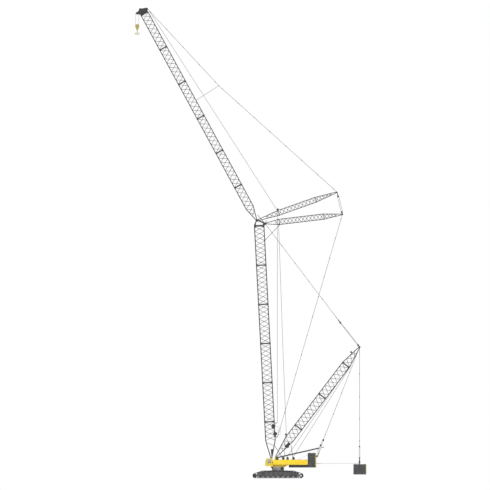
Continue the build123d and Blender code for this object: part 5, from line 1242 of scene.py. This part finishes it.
def inner_slope(side):
    """The inside of the chain along one sloping run, from the end wheel up to the top run."""
    a, b = LOOP[END_STEPS], np.array([TOP_LENGTH / 2, TOP_HEIGHT])
    u = (b - a) / np.linalg.norm(b - a)
    inward = np.array([-u[1], u[0]]) * CHAIN_DEPTH
    line = [a + u * t * np.linalg.norm(b - a) + inward for t in (0.30, 0.96)]
    return [(side * x, z) for x, z in line]


for name, middle in TRACKS.items():
    brackets, skids = Mould(), Mould()
    for a, b in zip(ROLLER_PLACES, ROLLER_PLACES[1:]):
        x0, x1, cut = a + ROLLER_ROOM, b - ROLLER_ROOM, 0.010
        outline = [(x0 + cut, BRACKET_LOW), (x1 - cut, BRACKET_LOW), (x1, BRACKET_LOW + cut),
                   (x1, BRACKET_HIGH), (x0, BRACKET_HIGH), (x0, BRACKET_LOW + cut)]
        brackets.prism(outline, middle - BRACKET_REACH, middle + BRACKET_REACH)
        for out in (-1, 1):
            for x in (x0 + 0.014, x1 - 0.014):
                brackets.bolt((x, 0.048), middle + out * BRACKET_REACH, out, 0.004)
    for side in (-1, 1):
        low, high = inner_slope(side)
        skids.prism([(side * 0.6400, 0.106), (side * 0.6460, 0.130), low, high, (side * 0.470, 0.2080)],
                    middle - SKID_REACH, middle + SKID_REACH)
    brackets.piece(f"roller_brackets_{name}", "frame_paint", "undercarriage", soft_edge=0.0008)
    skids.piece(f"chain_skids_{name}", "frame_paint", "undercarriage", soft_edge=0.0008)
print("brackets on a side:", 2 * (ROLLERS - 1))

# %% [markdown]
# ## What the crane turns on
#
# Under the upper works lies a toothed ring, and the beams that join the two side frames
# end in bolted flanges. An array modifier could repeat one tooth about the axis. A ring
# this thin is one outline with all its teeth, given its height, so it is drawn as such.

# %% Slewing ring and cross beam flanges
UPRIGHT = Matrix.Rotation(pi / 2, 4, "X")       # turns the mould's Y into the crane's Z
TEETH, TOOTH_ROOT, TOOTH_TIP = 96, 0.1795, 0.1865
RING_LOW, RING_HIGH = 0.2445, 0.2625
BEAM_PLACES, FLANGE_HALF = (-0.205, 0.205), 0.083
FLANGE_IN, FLANGE_OUT, FLANGE_LOW, FLANGE_HIGH = 0.362, 0.3744, 0.108, 0.220


def gear_ring():
    mould = Mould(UPRIGHT)
    outline = []
    for k in range(TEETH):
        for share, r in ((0.0, TOOTH_ROOT), (0.3, TOOTH_ROOT), (0.42, TOOTH_TIP), (0.82, TOOTH_TIP)):
            a = 2 * pi * (k + share) / TEETH
            outline.append((r * cos(a), r * sin(a)))
    mould.prism(outline, RING_LOW, RING_HIGH)
    mould.piece("slewing_gear", "drum_steel", "undercarriage")


def beam_flanges():
    mould = Mould()
    for x in BEAM_PLACES:
        for out in (-1, 1):
            low, high = x - FLANGE_HALF, x + FLANGE_HALF
            y0, y1 = sorted((out * FLANGE_IN, out * FLANGE_OUT))
            mould.block((low, y0, FLANGE_LOW), (high, y1, FLANGE_HIGH))
            for edge in (low + 0.005, high - 0.005):
                for z in (0.13, 0.16, 0.19):
                    mould.bolt((edge, z), out * FLANGE_IN, -out, 0.003)
    mould.piece("beam_flanges", "grey_paint", "undercarriage", soft_edge=0.001)


gear_ring()
beam_flanges()
print("teeth on the ring:", TEETH)

# %% [markdown]
# ## The upper works
#
# The deck and the two machinery houses are the bright body. The photograph shows a pale
# skirt low down over the slewing ring. Doors have handles and hinges, roofs have tread
# plates to walk on. Bump could hint at them, but only real pieces cast a shadow and
# break the outline, so each is a small solid on its face.

# %% Deck and houses
HOUSE_FACE = 0.350
SKIRT_LOW, SKIRT_HIGH, SKIRT_IN, SKIRT_OUT = 0.316, 0.352, 0.2252, 0.2285
SKIRT_FRONT, SKIRT_REAR = -0.2165, 0.158
DOORS = ((-0.020, 0.118), (0.118, 0.250), (0.250, 0.390), (0.390, 0.520))
ROOF_PLATES = [(-0.145 + 0.175 * i, 0.022 + 0.175 * i) for i in range(6)]


def deck_skirt():
    mould = Mould()
    outline = [(SKIRT_FRONT, SKIRT_LOW), (SKIRT_REAR, SKIRT_LOW),
               (0.196, SKIRT_HIGH), (SKIRT_FRONT, SKIRT_HIGH)]
    for out in (-1, 1):
        mould.prism(outline, *sorted((out * SKIRT_IN, out * SKIRT_OUT)))
        for x in np.linspace(-0.20, 0.14, 9):
            mould.bolt((x, 0.345), out * SKIRT_OUT, out, 0.0024)
    mould.block((-0.2195, -SKIRT_OUT, SKIRT_LOW), (-0.2172, SKIRT_OUT, SKIRT_HIGH))
    mould.piece("deck_skirt", "grey_paint", "upper", soft_edge=0.0006)


def door_fittings():
    mould = Mould()
    for out in (-1, 1):
        y = out * HOUSE_FACE
        for x0, x1 in DOORS:
            grip, hinge = x0 + 0.016, x1 - 0.006
            outer, barrel = y + out * 0.006, y + out * 0.0015
            mould.tube([(grip, y, 0.478), (grip, outer, 0.480), (grip, outer, 0.500), (grip, y, 0.502)],
                       0.0016, 8)
            for z in (0.438, 0.526):
                mould.tube([(hinge, barrel, z - 0.007), (hinge, barrel, z + 0.007)], 0.0022, 10)
            mould.bolts((grip, 0.489), 0.014, 2, y, out, 0.0012)
    mould.piece("door_handles", "dark_rubber", "upper")


def roof_treads():
    mould = Mould()
    for out in (-1, 1):
        for x0, x1 in ROOF_PLATES:
            y0, y1 = sorted((out * 0.228, out * 0.322))
            mould.block((x0, y0, 0.5602), (x1, y1, 0.5622))
    mould.block((-0.212, -0.120, 0.5222), (-0.034, 0.120, 0.5242))
    mould.piece("roof_treads", "tread_plate", "upper", soft_edge=0.0005)


deck_skirt()
door_fittings()
roof_treads()
print("doors with handles:", 2 * len(DOORS))

# %% [markdown]
# ## The cab
#
# The cab is glazed on all sides, so its inside shows: a moulded seat, two consoles with
# joysticks and a screen. Outside are a wiper, a mirror, grab rails, lamps and a roof
# hatch. The seat could be sculpted as a soft one, but on a scale model it is a hard
# shell, so it is drawn in side view. Everything stays clear of the driver's space.

# %% Cab fittings
CAB_MIDDLE = -0.302
ROOF_LAMPS, DECK_LAMPS = (-0.333, -0.271), (-0.150, 0.150)


def cab_inside():
    seat, side, other_side = Mould(), -0.3275, -0.2765
    cushion = [(-0.2835, 0.453), (-0.2285, 0.453), (-0.2285, 0.464), (-0.276, 0.467), (-0.2835, 0.462)]
    back = [(-0.2385, 0.458), (-0.2255, 0.458), (-0.2245, 0.5435), (-0.2305, 0.5445), (-0.2375, 0.540)]
    stand = [(-0.2805, 0.400), (-0.2275, 0.400), (-0.2275, 0.453), (-0.2805, 0.453)]
    console = [(-0.286, 0.476), (-0.236, 0.476), (-0.236, 0.484), (-0.282, 0.487), (-0.287, 0.483)]
    seat.prism(cushion, side, other_side)
    seat.prism(back, side, other_side)
    seat.prism(stand, -0.3270, -0.2770)
    for y in (-0.336, -0.268):
        seat.prism(console, y - 0.005, y + 0.005)
        seat.tube([(-0.276, y, 0.484), (-0.279, y, 0.502)], 0.0011, 8)
        seat.tube([(-0.279, y, 0.499), (-0.2795, y, 0.505), (-0.280, y, 0.509)], 0.0034, 12)
        seat.tube([(-0.245, y, 0.478), (-0.245, y, 0.400)], 0.0030, 10)
    seat.piece("cab_seat", "dark_rubber", "upper", soft_edge=0.0016)
    screen = Mould(Matrix.Translation((-0.352, -0.326, 0.500)) @ Matrix.Rotation(radians(18), 4, "Z"))
    screen.block((-0.0025, -0.013, -0.010), (0.0025, 0.013, 0.010))
    screen.tube([(-0.004, 0, -0.008), (-0.010, 0, -0.024)], 0.0016, 8)
    screen.piece("cab_screen", "dark_rubber", "upper", soft_edge=0.0008)


def cab_outside():
    trim = Mould()
    arm = (-0.3905, CAB_MIDDLE + 0.004, 0.487)
    trim.tube([(-0.3905, CAB_MIDDLE, 0.428), arm, (-0.3745, CAB_MIDDLE + 0.006, 0.545)], 0.0010, 8)
    trim.tube([(-0.3908, CAB_MIDDLE + 0.003, 0.470), arm, (-0.3660, CAB_MIDDLE + 0.007, 0.574)], 0.0006, 6)
    trim.tube([(-0.383, -0.352, 0.560), (-0.389, -0.366, 0.562), (-0.389, -0.370, 0.556)], 0.0013, 8)
    trim.block((-0.3905, -0.3765, 0.524), (-0.3870, -0.3635, 0.556))
    for y, rail in ((-0.353, -0.353 - 0.006), (-0.251, -0.251 + 0.006)):
        trim.tube([(-0.170, y, 0.440), (-0.170, rail, 0.443), (-0.170, rail, 0.538), (-0.170, y, 0.541)],
                  0.0014, 8)
    trim.piece("cab_trim", "dark_rubber", "upper")
    roof = Mould()
    roof.block((-0.300, -0.336, 0.609), (-0.185, -0.268, 0.613))
    roof.block((-0.349, -0.343, 0.609), (-0.343, -0.261, 0.6115))
    roof.piece("cab_hatch", "cab_paint", "upper", soft_edge=0.0015)
    housings, lenses = Mould(), Mould()
    on_roof = [(-0.345, 0.6115), (-0.331, 0.6115), (-0.331, 0.620), (-0.335, 0.6245), (-0.345, 0.6245)]
    on_deck = [(-0.2235, 0.500), (-0.217, 0.500), (-0.217, 0.516), (-0.2235, 0.516)]
    for y in ROOF_LAMPS:
        housings.prism(on_roof, y - 0.0075, y + 0.0075)
        lenses.block((-0.3462, y - 0.0062, 0.6130), (-0.3448, y + 0.0062, 0.6232))
    for y in DECK_LAMPS:
        housings.prism(on_deck, y - 0.010, y + 0.010)
        lenses.block((-0.2247, y - 0.0085, 0.502), (-0.2233, y + 0.0085, 0.514))
    housings.piece("lamp_housings", "frame_paint", "upper", soft_edge=0.0008)
    lenses.piece("lamp_lenses", "lamp_glass", "upper", soft_edge=0.0004)


cab_inside()
cab_outside()
print("lamps:", len(ROOF_LAMPS + DECK_LAMPS))

# %% [markdown]
# ## Counterweight and ballast
#
# Both stacks are cast slabs on a welded tray. The photograph shows a black edge at the
# front of each stack and an olive one at the rear: upright channels that hold the slabs.
# A channel could be folded from a sheet, but only its flat back shows, so each is a
# plate with bolts down its length. The lifting eyes are bent round bar, made as tubes.

# %% Stack fittings
STACK_HIGH = 0.774
STACKS = {
    # name: body, front channel and rear one from x to x, face, from z to z, how proud, soft edge,
    #       places of the eyes as x and y, height and radius of an eye
    "stack": ("upper", (0.9105, 0.926), (1.139, 1.157), 0.350, (0.3663, STACK_HIGH - 0.004), 0.005, 0.0008,
              (0.97, 1.10), (-0.29, -0.15, 0.15, 0.29), STACK_HIGH, 0.014),
    "ballast": ("ballast", (2.3085, 2.326), (2.687, 2.7045), 0.190, (0.1403, 0.4305), 0.004, 0.0006,
                (2.36, 2.65), (-0.15, 0.15), 0.431, 0.011),
}


def channel(mould, x0, x1, face, out, z0, z1, proud):
    """An upright plate against a face that looks along Y, with bolts down its length."""
    y0, y1 = sorted((face, face + out * proud))
    mould.block((x0, y0, z0), (x1, y1, z1))
    for z in np.linspace(z0 + 0.02, z1 - 0.02, max(3, round((z1 - z0) / 0.07))):
        mould.bolt(((x0 + x1) / 2, z), face + out * proud, out, 0.0032)


def eye(mould, x, y, top, radius):
    """A bent round bar to lift a slab by."""
    arc = [(x + radius * cos(a), y, top - 0.001 + 1.2 * radius * sin(a)) for a in np.linspace(0, pi, 11)]
    mould.tube(arc, 0.0032, 8)


for name, (body, front, rear, face, rise, proud, edge, xs, ys, top, radius) in STACKS.items():
    for where, reach, finish in (("front", front, "frame_paint"), ("rear", rear, "edge_paint")):
        channels = Mould()
        for out in (-1, 1):
            channel(channels, *reach, out * face, out, *rise, proud)
        channels.piece(f"{name}_{where}_channels", finish, body, soft_edge=edge)
    rings = Mould()
    for x in xs:
        for y in ys:
            eye(rings, x, y, top, radius)
    rings.piece(f"{name}_lifting_eyes", "frame_paint", body)
print("counterweight reaches", STACK_HIGH, "m up")

# %% [markdown]
# ## Winches
#
# The rope on a drum shows as a fine thread of turns. A helix of tube would be honest but
# costs thousands of triangles per drum, and from any distance a stack of closed rings
# looks the same, so each winding is one turned profile with a ridge per turn. It turns
# with its drum. Motors and gearboxes stand outside the cheeks.

# %% Winches
DECK_DRUMS = {f"deck_drum_{k}": (x, 0.616) for k, x in enumerate((0.162, 0.294, 0.477), 1)}
BOOM_DRUMS = {"boom_drum_1": (-0.148, 1.595), "boom_drum_2": (-0.090, 1.358)}
WINDINGS = ((DECK_DRUMS, 0.0272, 0.0342, 0.0685, 18), (BOOM_DRUMS, 0.0462, 0.0560, 0.0880, 23))
THREAD = 0.0028             # depth of the grooves between turns
DECK_CHEEK, DECK_CAP, BOOM_CHEEK = 0.0892, 0.0935, 0.1092


def winding(mould, centre, core, ridge, reach, turns):
    """Wound rope as one turned profile."""
    pitch = 2 * reach / turns
    outer = []
    for k in range(turns):
        y = -reach + k * pitch
        outer += [(ridge - THREAD, y + pitch * 0.04), (ridge, y + pitch * 0.32), (ridge, y + pitch * 0.68)]
    outer.append((ridge - THREAD, reach))
    mould.wheel(centre, [(core, -reach), *outer, (core, reach)], 40)


def motor(mould, centre, face, out, size):
    """A planetary gearbox with its oil motor, on the outside of a cheek."""
    y = [face + out * t for t in (0.0, 0.010, 0.012, 0.030, 0.034)]
    profile = [(0.004, y[0]), (size, y[0]), (size, y[1]), (size * 0.82, y[2]), (size * 0.82, y[3]),
               (size * 0.70, y[4]), (0.004, y[4])]
    mould.wheel(centre, profile, 32)
    mould.bolts(centre, size * 0.91, 10, y[1], out, 0.0024)


for drums, core, ridge, reach, turns in WINDINGS:
    for name, centre in drums.items():
        wound = Mould()
        winding(wound, centre, core, ridge, reach, turns)
        wound.piece(f"{name}_winding", "rope_steel", name)
motors = Mould()
for centre in DECK_DRUMS.values():
    motor(motors, centre, DECK_CHEEK, 1, 0.026)
    motors.pin(centre, 0.014, -DECK_CAP, -DECK_CHEEK, 20)
    motors.bolts(centre, 0.010, 5, -DECK_CAP, -1, 0.0022)
motors.piece("deck_winch_motors", "frame_paint", "upper")
motors = Mould()
for centre in BOOM_DRUMS.values():
    motor(motors, centre, BOOM_CHEEK, 1, 0.038)
    motor(motors, centre, -BOOM_CHEEK, -1, 0.030)
motors.piece("boom_winch_motors", "frame_paint", "boom")
print("drums with rope on them:", len(DECK_DRUMS) + len(BOOM_DRUMS))

# %% [markdown]
# ## The railing behind the boom winches
#
# The photograph shows a pale railing around the winches on the boom, and above it a
# roller that keeps the hoist rope off the boom. Curves with a bevel could draw them, but
# these are straight tubes between posts and brackets, so the mould lays them one by one.

# %% Winch railing
RAIL_TUBE, RAIL_SIDE = 0.0034, 0.116
RAIL_HEIGHTS, RAIL_FRONT, RAIL_REAR = (1.325, 1.460, 1.595), -0.030, 0.080
POSTS, POST_LOW, POST_HIGH = (-0.018, 0.030, 0.078), 1.318, 1.602
BOOM_HALF, BOOM_SIDE = 0.145, 0.160     # of the boom's chords: half depth, half width
ROPE_ROLLER, ROLLER_LANE = (-0.0335, 1.690), 0.050


def winch_railing():
    rails = Mould()
    for y in (-RAIL_SIDE, RAIL_SIDE):
        for z in RAIL_HEIGHTS:
            rails.tube([(RAIL_FRONT, y, z), (RAIL_REAR, y, z)], RAIL_TUBE, 10)
        for x in POSTS:
            rails.tube([(x, y, POST_LOW), (x, y, POST_HIGH)], RAIL_TUBE, 10)
        for a, b in zip(RAIL_HEIGHTS, RAIL_HEIGHTS[1:]):
            rails.tube([(POSTS[0], y, a), (POSTS[-1], y, b)], RAIL_TUBE * 0.8, 8)
    for z in RAIL_HEIGHTS:
        rails.tube([(POSTS[-1], -RAIL_SIDE, z), (POSTS[-1], RAIL_SIDE, z)], RAIL_TUBE, 10)
    for y in (-1, 1):
        for z in (RAIL_HEIGHTS[0], RAIL_HEIGHTS[-1]):
            chord = on(boom_foot, BOOM_ANGLE, z - boom_foot[1], BOOM_HALF)
            rails.tube([(chord[0], y * BOOM_SIDE, chord[1]), (RAIL_FRONT, y * RAIL_SIDE, z)],
                       RAIL_TUBE, 10)
    rails.piece("winch_railing", "guard_paint", "boom")


def rope_roller():
    bearing, wheel, (x, z) = Mould(), Mould(), ROPE_ROLLER
    rear = on(boom_foot, BOOM_ANGLE, z - boom_foot[1], BOOM_HALF)
    for y in (-1, 1):
        bearing.tube([(rear[0], y * BOOM_SIDE, rear[1]), (x, y * ROLLER_LANE, z), (x, 0, z)], 0.0045, 10)
    bearing.piece("rope_roller_bar", "tube_paint", "boom")
    sheave(wheel, ROPE_ROLLER, 0.012, 0.030, 0.012, 0.005)
    wheel.piece("rope_roller", "drum_steel", "boom")


winch_railing()
rope_roller()
print("railing between", POST_LOW, "and", POST_HIGH, "m")

# %% [markdown]
# ## Pins, shafts and collars
#
# Wherever two members meet there is a bright machined pin with a keeper plate and its
# bolts. The A-frame ends in eyes over the plates of its hitch. They are small, but a
# joint without them looks painted on, so the main ones are turned and drawn here.

# %% Pins
def keeper(mould, centre, face, out, radius):
    """The end of a pin: a head, and a keeper plate with two bolts."""
    y = face + out * 0.004
    head = [(0.001, face), (radius, face), (radius, y - out * 0.001), (radius * 0.9, y), (0.001, y)]
    mould.wheel(centre, head, 24)
    mould.bolts(centre, radius * 0.55, 3, y, out, radius * 0.16)


A_FRAME_LANE, A_FRAME_EYE = 0.262, 0.009
HITCH = [(1.206, 0.690), (1.232, 0.690), (1.292, 0.845), (1.318, 0.925), (1.270, 0.922), (1.196, 0.880)]
HITCH_PLATE, HITCH_FACES = 0.003, (-0.2722, 0.2692)

frame_ends, hitches = Mould(), Mould()
for lane, face in zip((-A_FRAME_LANE, A_FRAME_LANE), HITCH_FACES):
    near, far = lane - A_FRAME_EYE, lane + A_FRAME_EYE
    frame_ends.strap((1.312, 0.938), (1.394, 0.9565), 0.022, lane, 0.014)
    frame_ends.wheel((1.388, 0.955), [(0.004, near), (0.015, near), (0.015, far), (0.004, far)], 24)
    hitches.prism(HITCH, face, face + HITCH_PLATE)
frame_ends.piece("a_frame_ends", "frame_paint", "upper", soft_edge=0.0008)
hitches.piece("hitch_plates", "guard_paint", "upper", soft_edge=0.0006)

PINS = {
    # name: body, then each pin: centre, half the width it crosses, how proud it stands, radius
    "foot_pin_ends": ("upper", (boom_foot, 0.160, 0.0313, 0.016), (mast_foot, 0.200, 0.0293, 0.015)),
    "strut_pin_ends": ("boom", (rear_foot, 0.125, 0.0115, 0.013)),
}
for name, (body, *pins) in PINS.items():
    heads = Mould()
    for out in (-1, 1):
        for centre, half, proud, radius in pins:
            keeper(heads, centre, out * (half + proud), out, radius)
    heads.piece(name, "pin_steel", body)
print("pins with keepers:", 2 * sum(len(pins) - 1 for pins in PINS.values()))

# %% [markdown]
# ## The hook block
#
# The block is two olive cheek plates around its sheaves, with a heavy forged hook below.
# Bolts hold the cheeks together and spring latches close the hook's two throats. The
# solids have the cheeks and the hook, so only bolts and latches are laid on here.

# %% Hook block fittings
LATCH_HINGE, LATCH_END = (0.014, 13.616 + 0.036), (0.058, 13.646 + 0.002)
LATCH_LANE, LATCH_SHORT = 0.0145, 0.004

hook_bolts, latches = Mould(), Mould()
block_low, block_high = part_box("hook_block")
print("hook block box:", [round(v, 3) for v in (*block_low, *block_high)])
for face, out in ((block_low.y, -1), (block_high.y, 1)):
    hook_bolts.bolts((hook_pin[0], 13.745), 0.012, 2, face, out, 0.0024)
    for z in (13.800, 13.885):
        hook_bolts.bolt((hook_pin[0], z), face, out, 0.0024)
for side in (-1, 1):
    hinge = (hook_pin[0] + side * LATCH_HINGE[0], LATCH_HINGE[1])
    end = (hook_pin[0] + side * LATCH_END[0] - side * LATCH_SHORT, LATCH_END[1])
    for y in (-LATCH_LANE, LATCH_LANE):
        latches.strap(hinge, end, 0.005, y, 0.002)
    latches.pin(hinge, 0.0035, -0.0165, 0.0165, 12)
hook_bolts.piece("hook_block_bolts", "pin_steel", "hook_block")
latches.piece("hook_latches", "pin_steel", "hook")

# %% [markdown]
# ## Finishes for the solids
#
# Solids that stay in view get the finish of their slot. Some solids are welded from
# parts that the photograph shows in two colours, such as the frame of a stack. They
# could be cut apart, but a weld is one piece: there the paint changes by place, as a
# painter would mask it.

# %% Paint the solids
DARK = ((0.016, 0.016, 0.018), (0.028, 0.028, 0.030), 0.46, 0.20, 0.45, 0.40, 0.12)
BODY = ((0.93, 0.66, 0.004), (0.90, 0.60, 0.004), 0.28, 0.05, 0.45, 0.04, 0.35)
GREY = ((0.50, 0.51, 0.52), (0.41, 0.42, 0.44), 0.36, 0.15, 0.30, 0.25, 0.30)
MASKED = {
    # name: the paint as in ENAMELS, then zones of another colour
    "stack_frame_paint": (DARK, (OLIVE, ("X", 1.1575, 1.1730)),
                          (PALE, ("X", 1.1735, 1.900), ("Z", 0.300, 0.500)), (PALE, ("X", 0.700, 0.9088))),
    "ballast_frame_paint": (DARK, (OLIVE, ("X", 2.6905, 2.7200)),
                            (PALE, ("X", 1.600, 2.4750), ("Z", 0.440, 0.464))),
    "a_frame_paint": (DARK, (PALE, ("X", 1.262, 1.400))),
    "deck_paint": (BODY, ((0.86, 0.55, 0.004), ("Z", 0.300, 0.352))),
    "slewing_paint": (GREY, (BLACK, ("X", -0.400, -0.140)), (BLACK, ("X", 0.085, 0.400))),
}
for name, (paint, *zones) in MASKED.items():
    enamel(name, *paint, zones=zones)
bpy.data.objects["deck_skirt"].data.materials[0] = finishes["slewing_paint"]
SPECIAL = {
    "turntable": "slewing_paint", "counterweight_frame": "stack_frame_paint",
    "ballast_frame": "ballast_frame_paint", "a_frame": "a_frame_paint",
    "cab": "cab_paint", "cab_door": "cab_paint", "deck": "deck_paint",
}
node_slots = {part["node"]: part["material_slot"] for part in frame["record"]["subparts"]}
for name, node in nodes.items():
    finish = finishes[SPECIAL.get(name, node_slots[name])]
    if not node.material_slots:
        node.data.materials.append(finish)
    for place in node.material_slots:
        place.material = finish
print("solids painted:", len(nodes))

# %% [markdown]
# ## Broken edges
#
# The solids of plates and boxes have sharp edges, which no real plate has. A bevel
# modifier on the object leaves the mesh itself as it came and rounds what is shown.
# It goes only on solids with flat faces; round ones would gain nothing.

# %% Edges of the solids
JOIN = 0.00002              # points nearer than this are one
SOFT_SOLIDS = {
    "deck": 0.003, "machinery_houses": 0.003, "cab": 0.0012, "cab_door": 0.0008,
    "counterweight": 0.0022, "ballast": 0.0022, "carbody": 0.002,
    "side_frame_left": 0.0012, "side_frame_right": 0.0012, "rear_beam": 0.002,
}
for name, width in SOFT_SOLIDS.items():
    nodes[name].modifiers.new("joined_points", "WELD").merge_threshold = JOIN
    round_edges(nodes[name], width)
print("rounded:", *SOFT_SOLIDS)

# %% [markdown]
# ## Light, floor and background
#
# A data sheet shows the crane on plain white, in even light. The world gives most of the
# light. What the camera and reflections see is white by its own branch, so no more light
# falls on the crane for it. One broad sun from above and the front models the forms, and
# a weaker one opens the shadows. The floor is a plain pale sheet with a faint grain.

# %% Stage
AMBIENT, KEY_SUN, FRONT_SUN, BACK_SUN = 0.60, 1.5, 0.5, 0.4
FLOOR_SIZE, FLOOR_DROP = 60.0, 0.0006


def studio_world():
    world = bpy.data.worlds.new("studio")
    bpy.context.scene.world = world
    world.use_nodes = True
    tree = world.node_tree
    light, seen = tree.nodes["Background"], tree.nodes.new("ShaderNodeBackground")
    light.inputs["Color"].default_value = (1.0, 1.0, 1.0, 1.0)
    light.inputs["Strength"].default_value = AMBIENT
    seen.inputs["Color"].default_value = (1.0, 1.0, 1.0, 1.0)
    seen.inputs["Strength"].default_value = 1.0
    path = tree.nodes.new("ShaderNodeLightPath")
    rays = [Value(tree, path.outputs[k]) for k in ("Is Camera Ray", "Is Glossy Ray", "Is Transmission Ray")]
    shown = rays[0].math("MAXIMUM", rays[0] + rays[1], rays[2])
    shown = shown.math("MINIMUM", shown, 1.0)
    mix = tree.nodes.new("ShaderNodeMixShader")
    tree.links.new(shown.socket, mix.inputs[0])
    tree.links.new(light.outputs[0], mix.inputs[1])
    tree.links.new(seen.outputs[0], mix.inputs[2])
    tree.links.new(mix.outputs[0], tree.nodes["World Output"].inputs["Surface"])


def sun(name, strength, tilt, turn, softness):
    lamp = bpy.data.lights.new(name, "SUN")
    lamp.energy, lamp.angle = strength, radians(softness)
    thing = bpy.data.objects.new(name, lamp)
    thing.rotation_euler = (radians(tilt), 0, radians(turn))
    bpy.context.scene.collection.objects.link(thing)


def pale_floor():
    f = Finish("studio_floor")
    f.feed("Base Color", f.mix(f.noise(1.5, 4.0), (0.90, 0.90, 0.90), (0.93, 0.93, 0.93)))
    f.feed("Roughness", 0.8 + 0.1 * f.noise(40.0))
    half = FLOOR_SIZE / 2
    corners = [(x, y, -FLOOR_DROP) for x, y in ((-half, -half), (half, -half), (half, half), (-half, half))]
    mesh = bpy.data.meshes.new("studio_floor")
    mesh.from_pydata(corners, [], [(0, 1, 2, 3)])
    mesh.materials.append(f.material)
    floor = bpy.data.objects.new("studio_floor", mesh)
    bpy.context.scene.collection.objects.link(floor)


studio_world()
sun("key_sun", KEY_SUN, 52, -25, 15)
sun("front_sun", FRONT_SUN, 80, 20, 30)
sun("back_sun", BACK_SUN, 60, 150, 25)
pale_floor()
bpy.context.scene.view_settings.view_transform = "Standard"
print("lights: world and", len(bpy.data.lights), "suns")
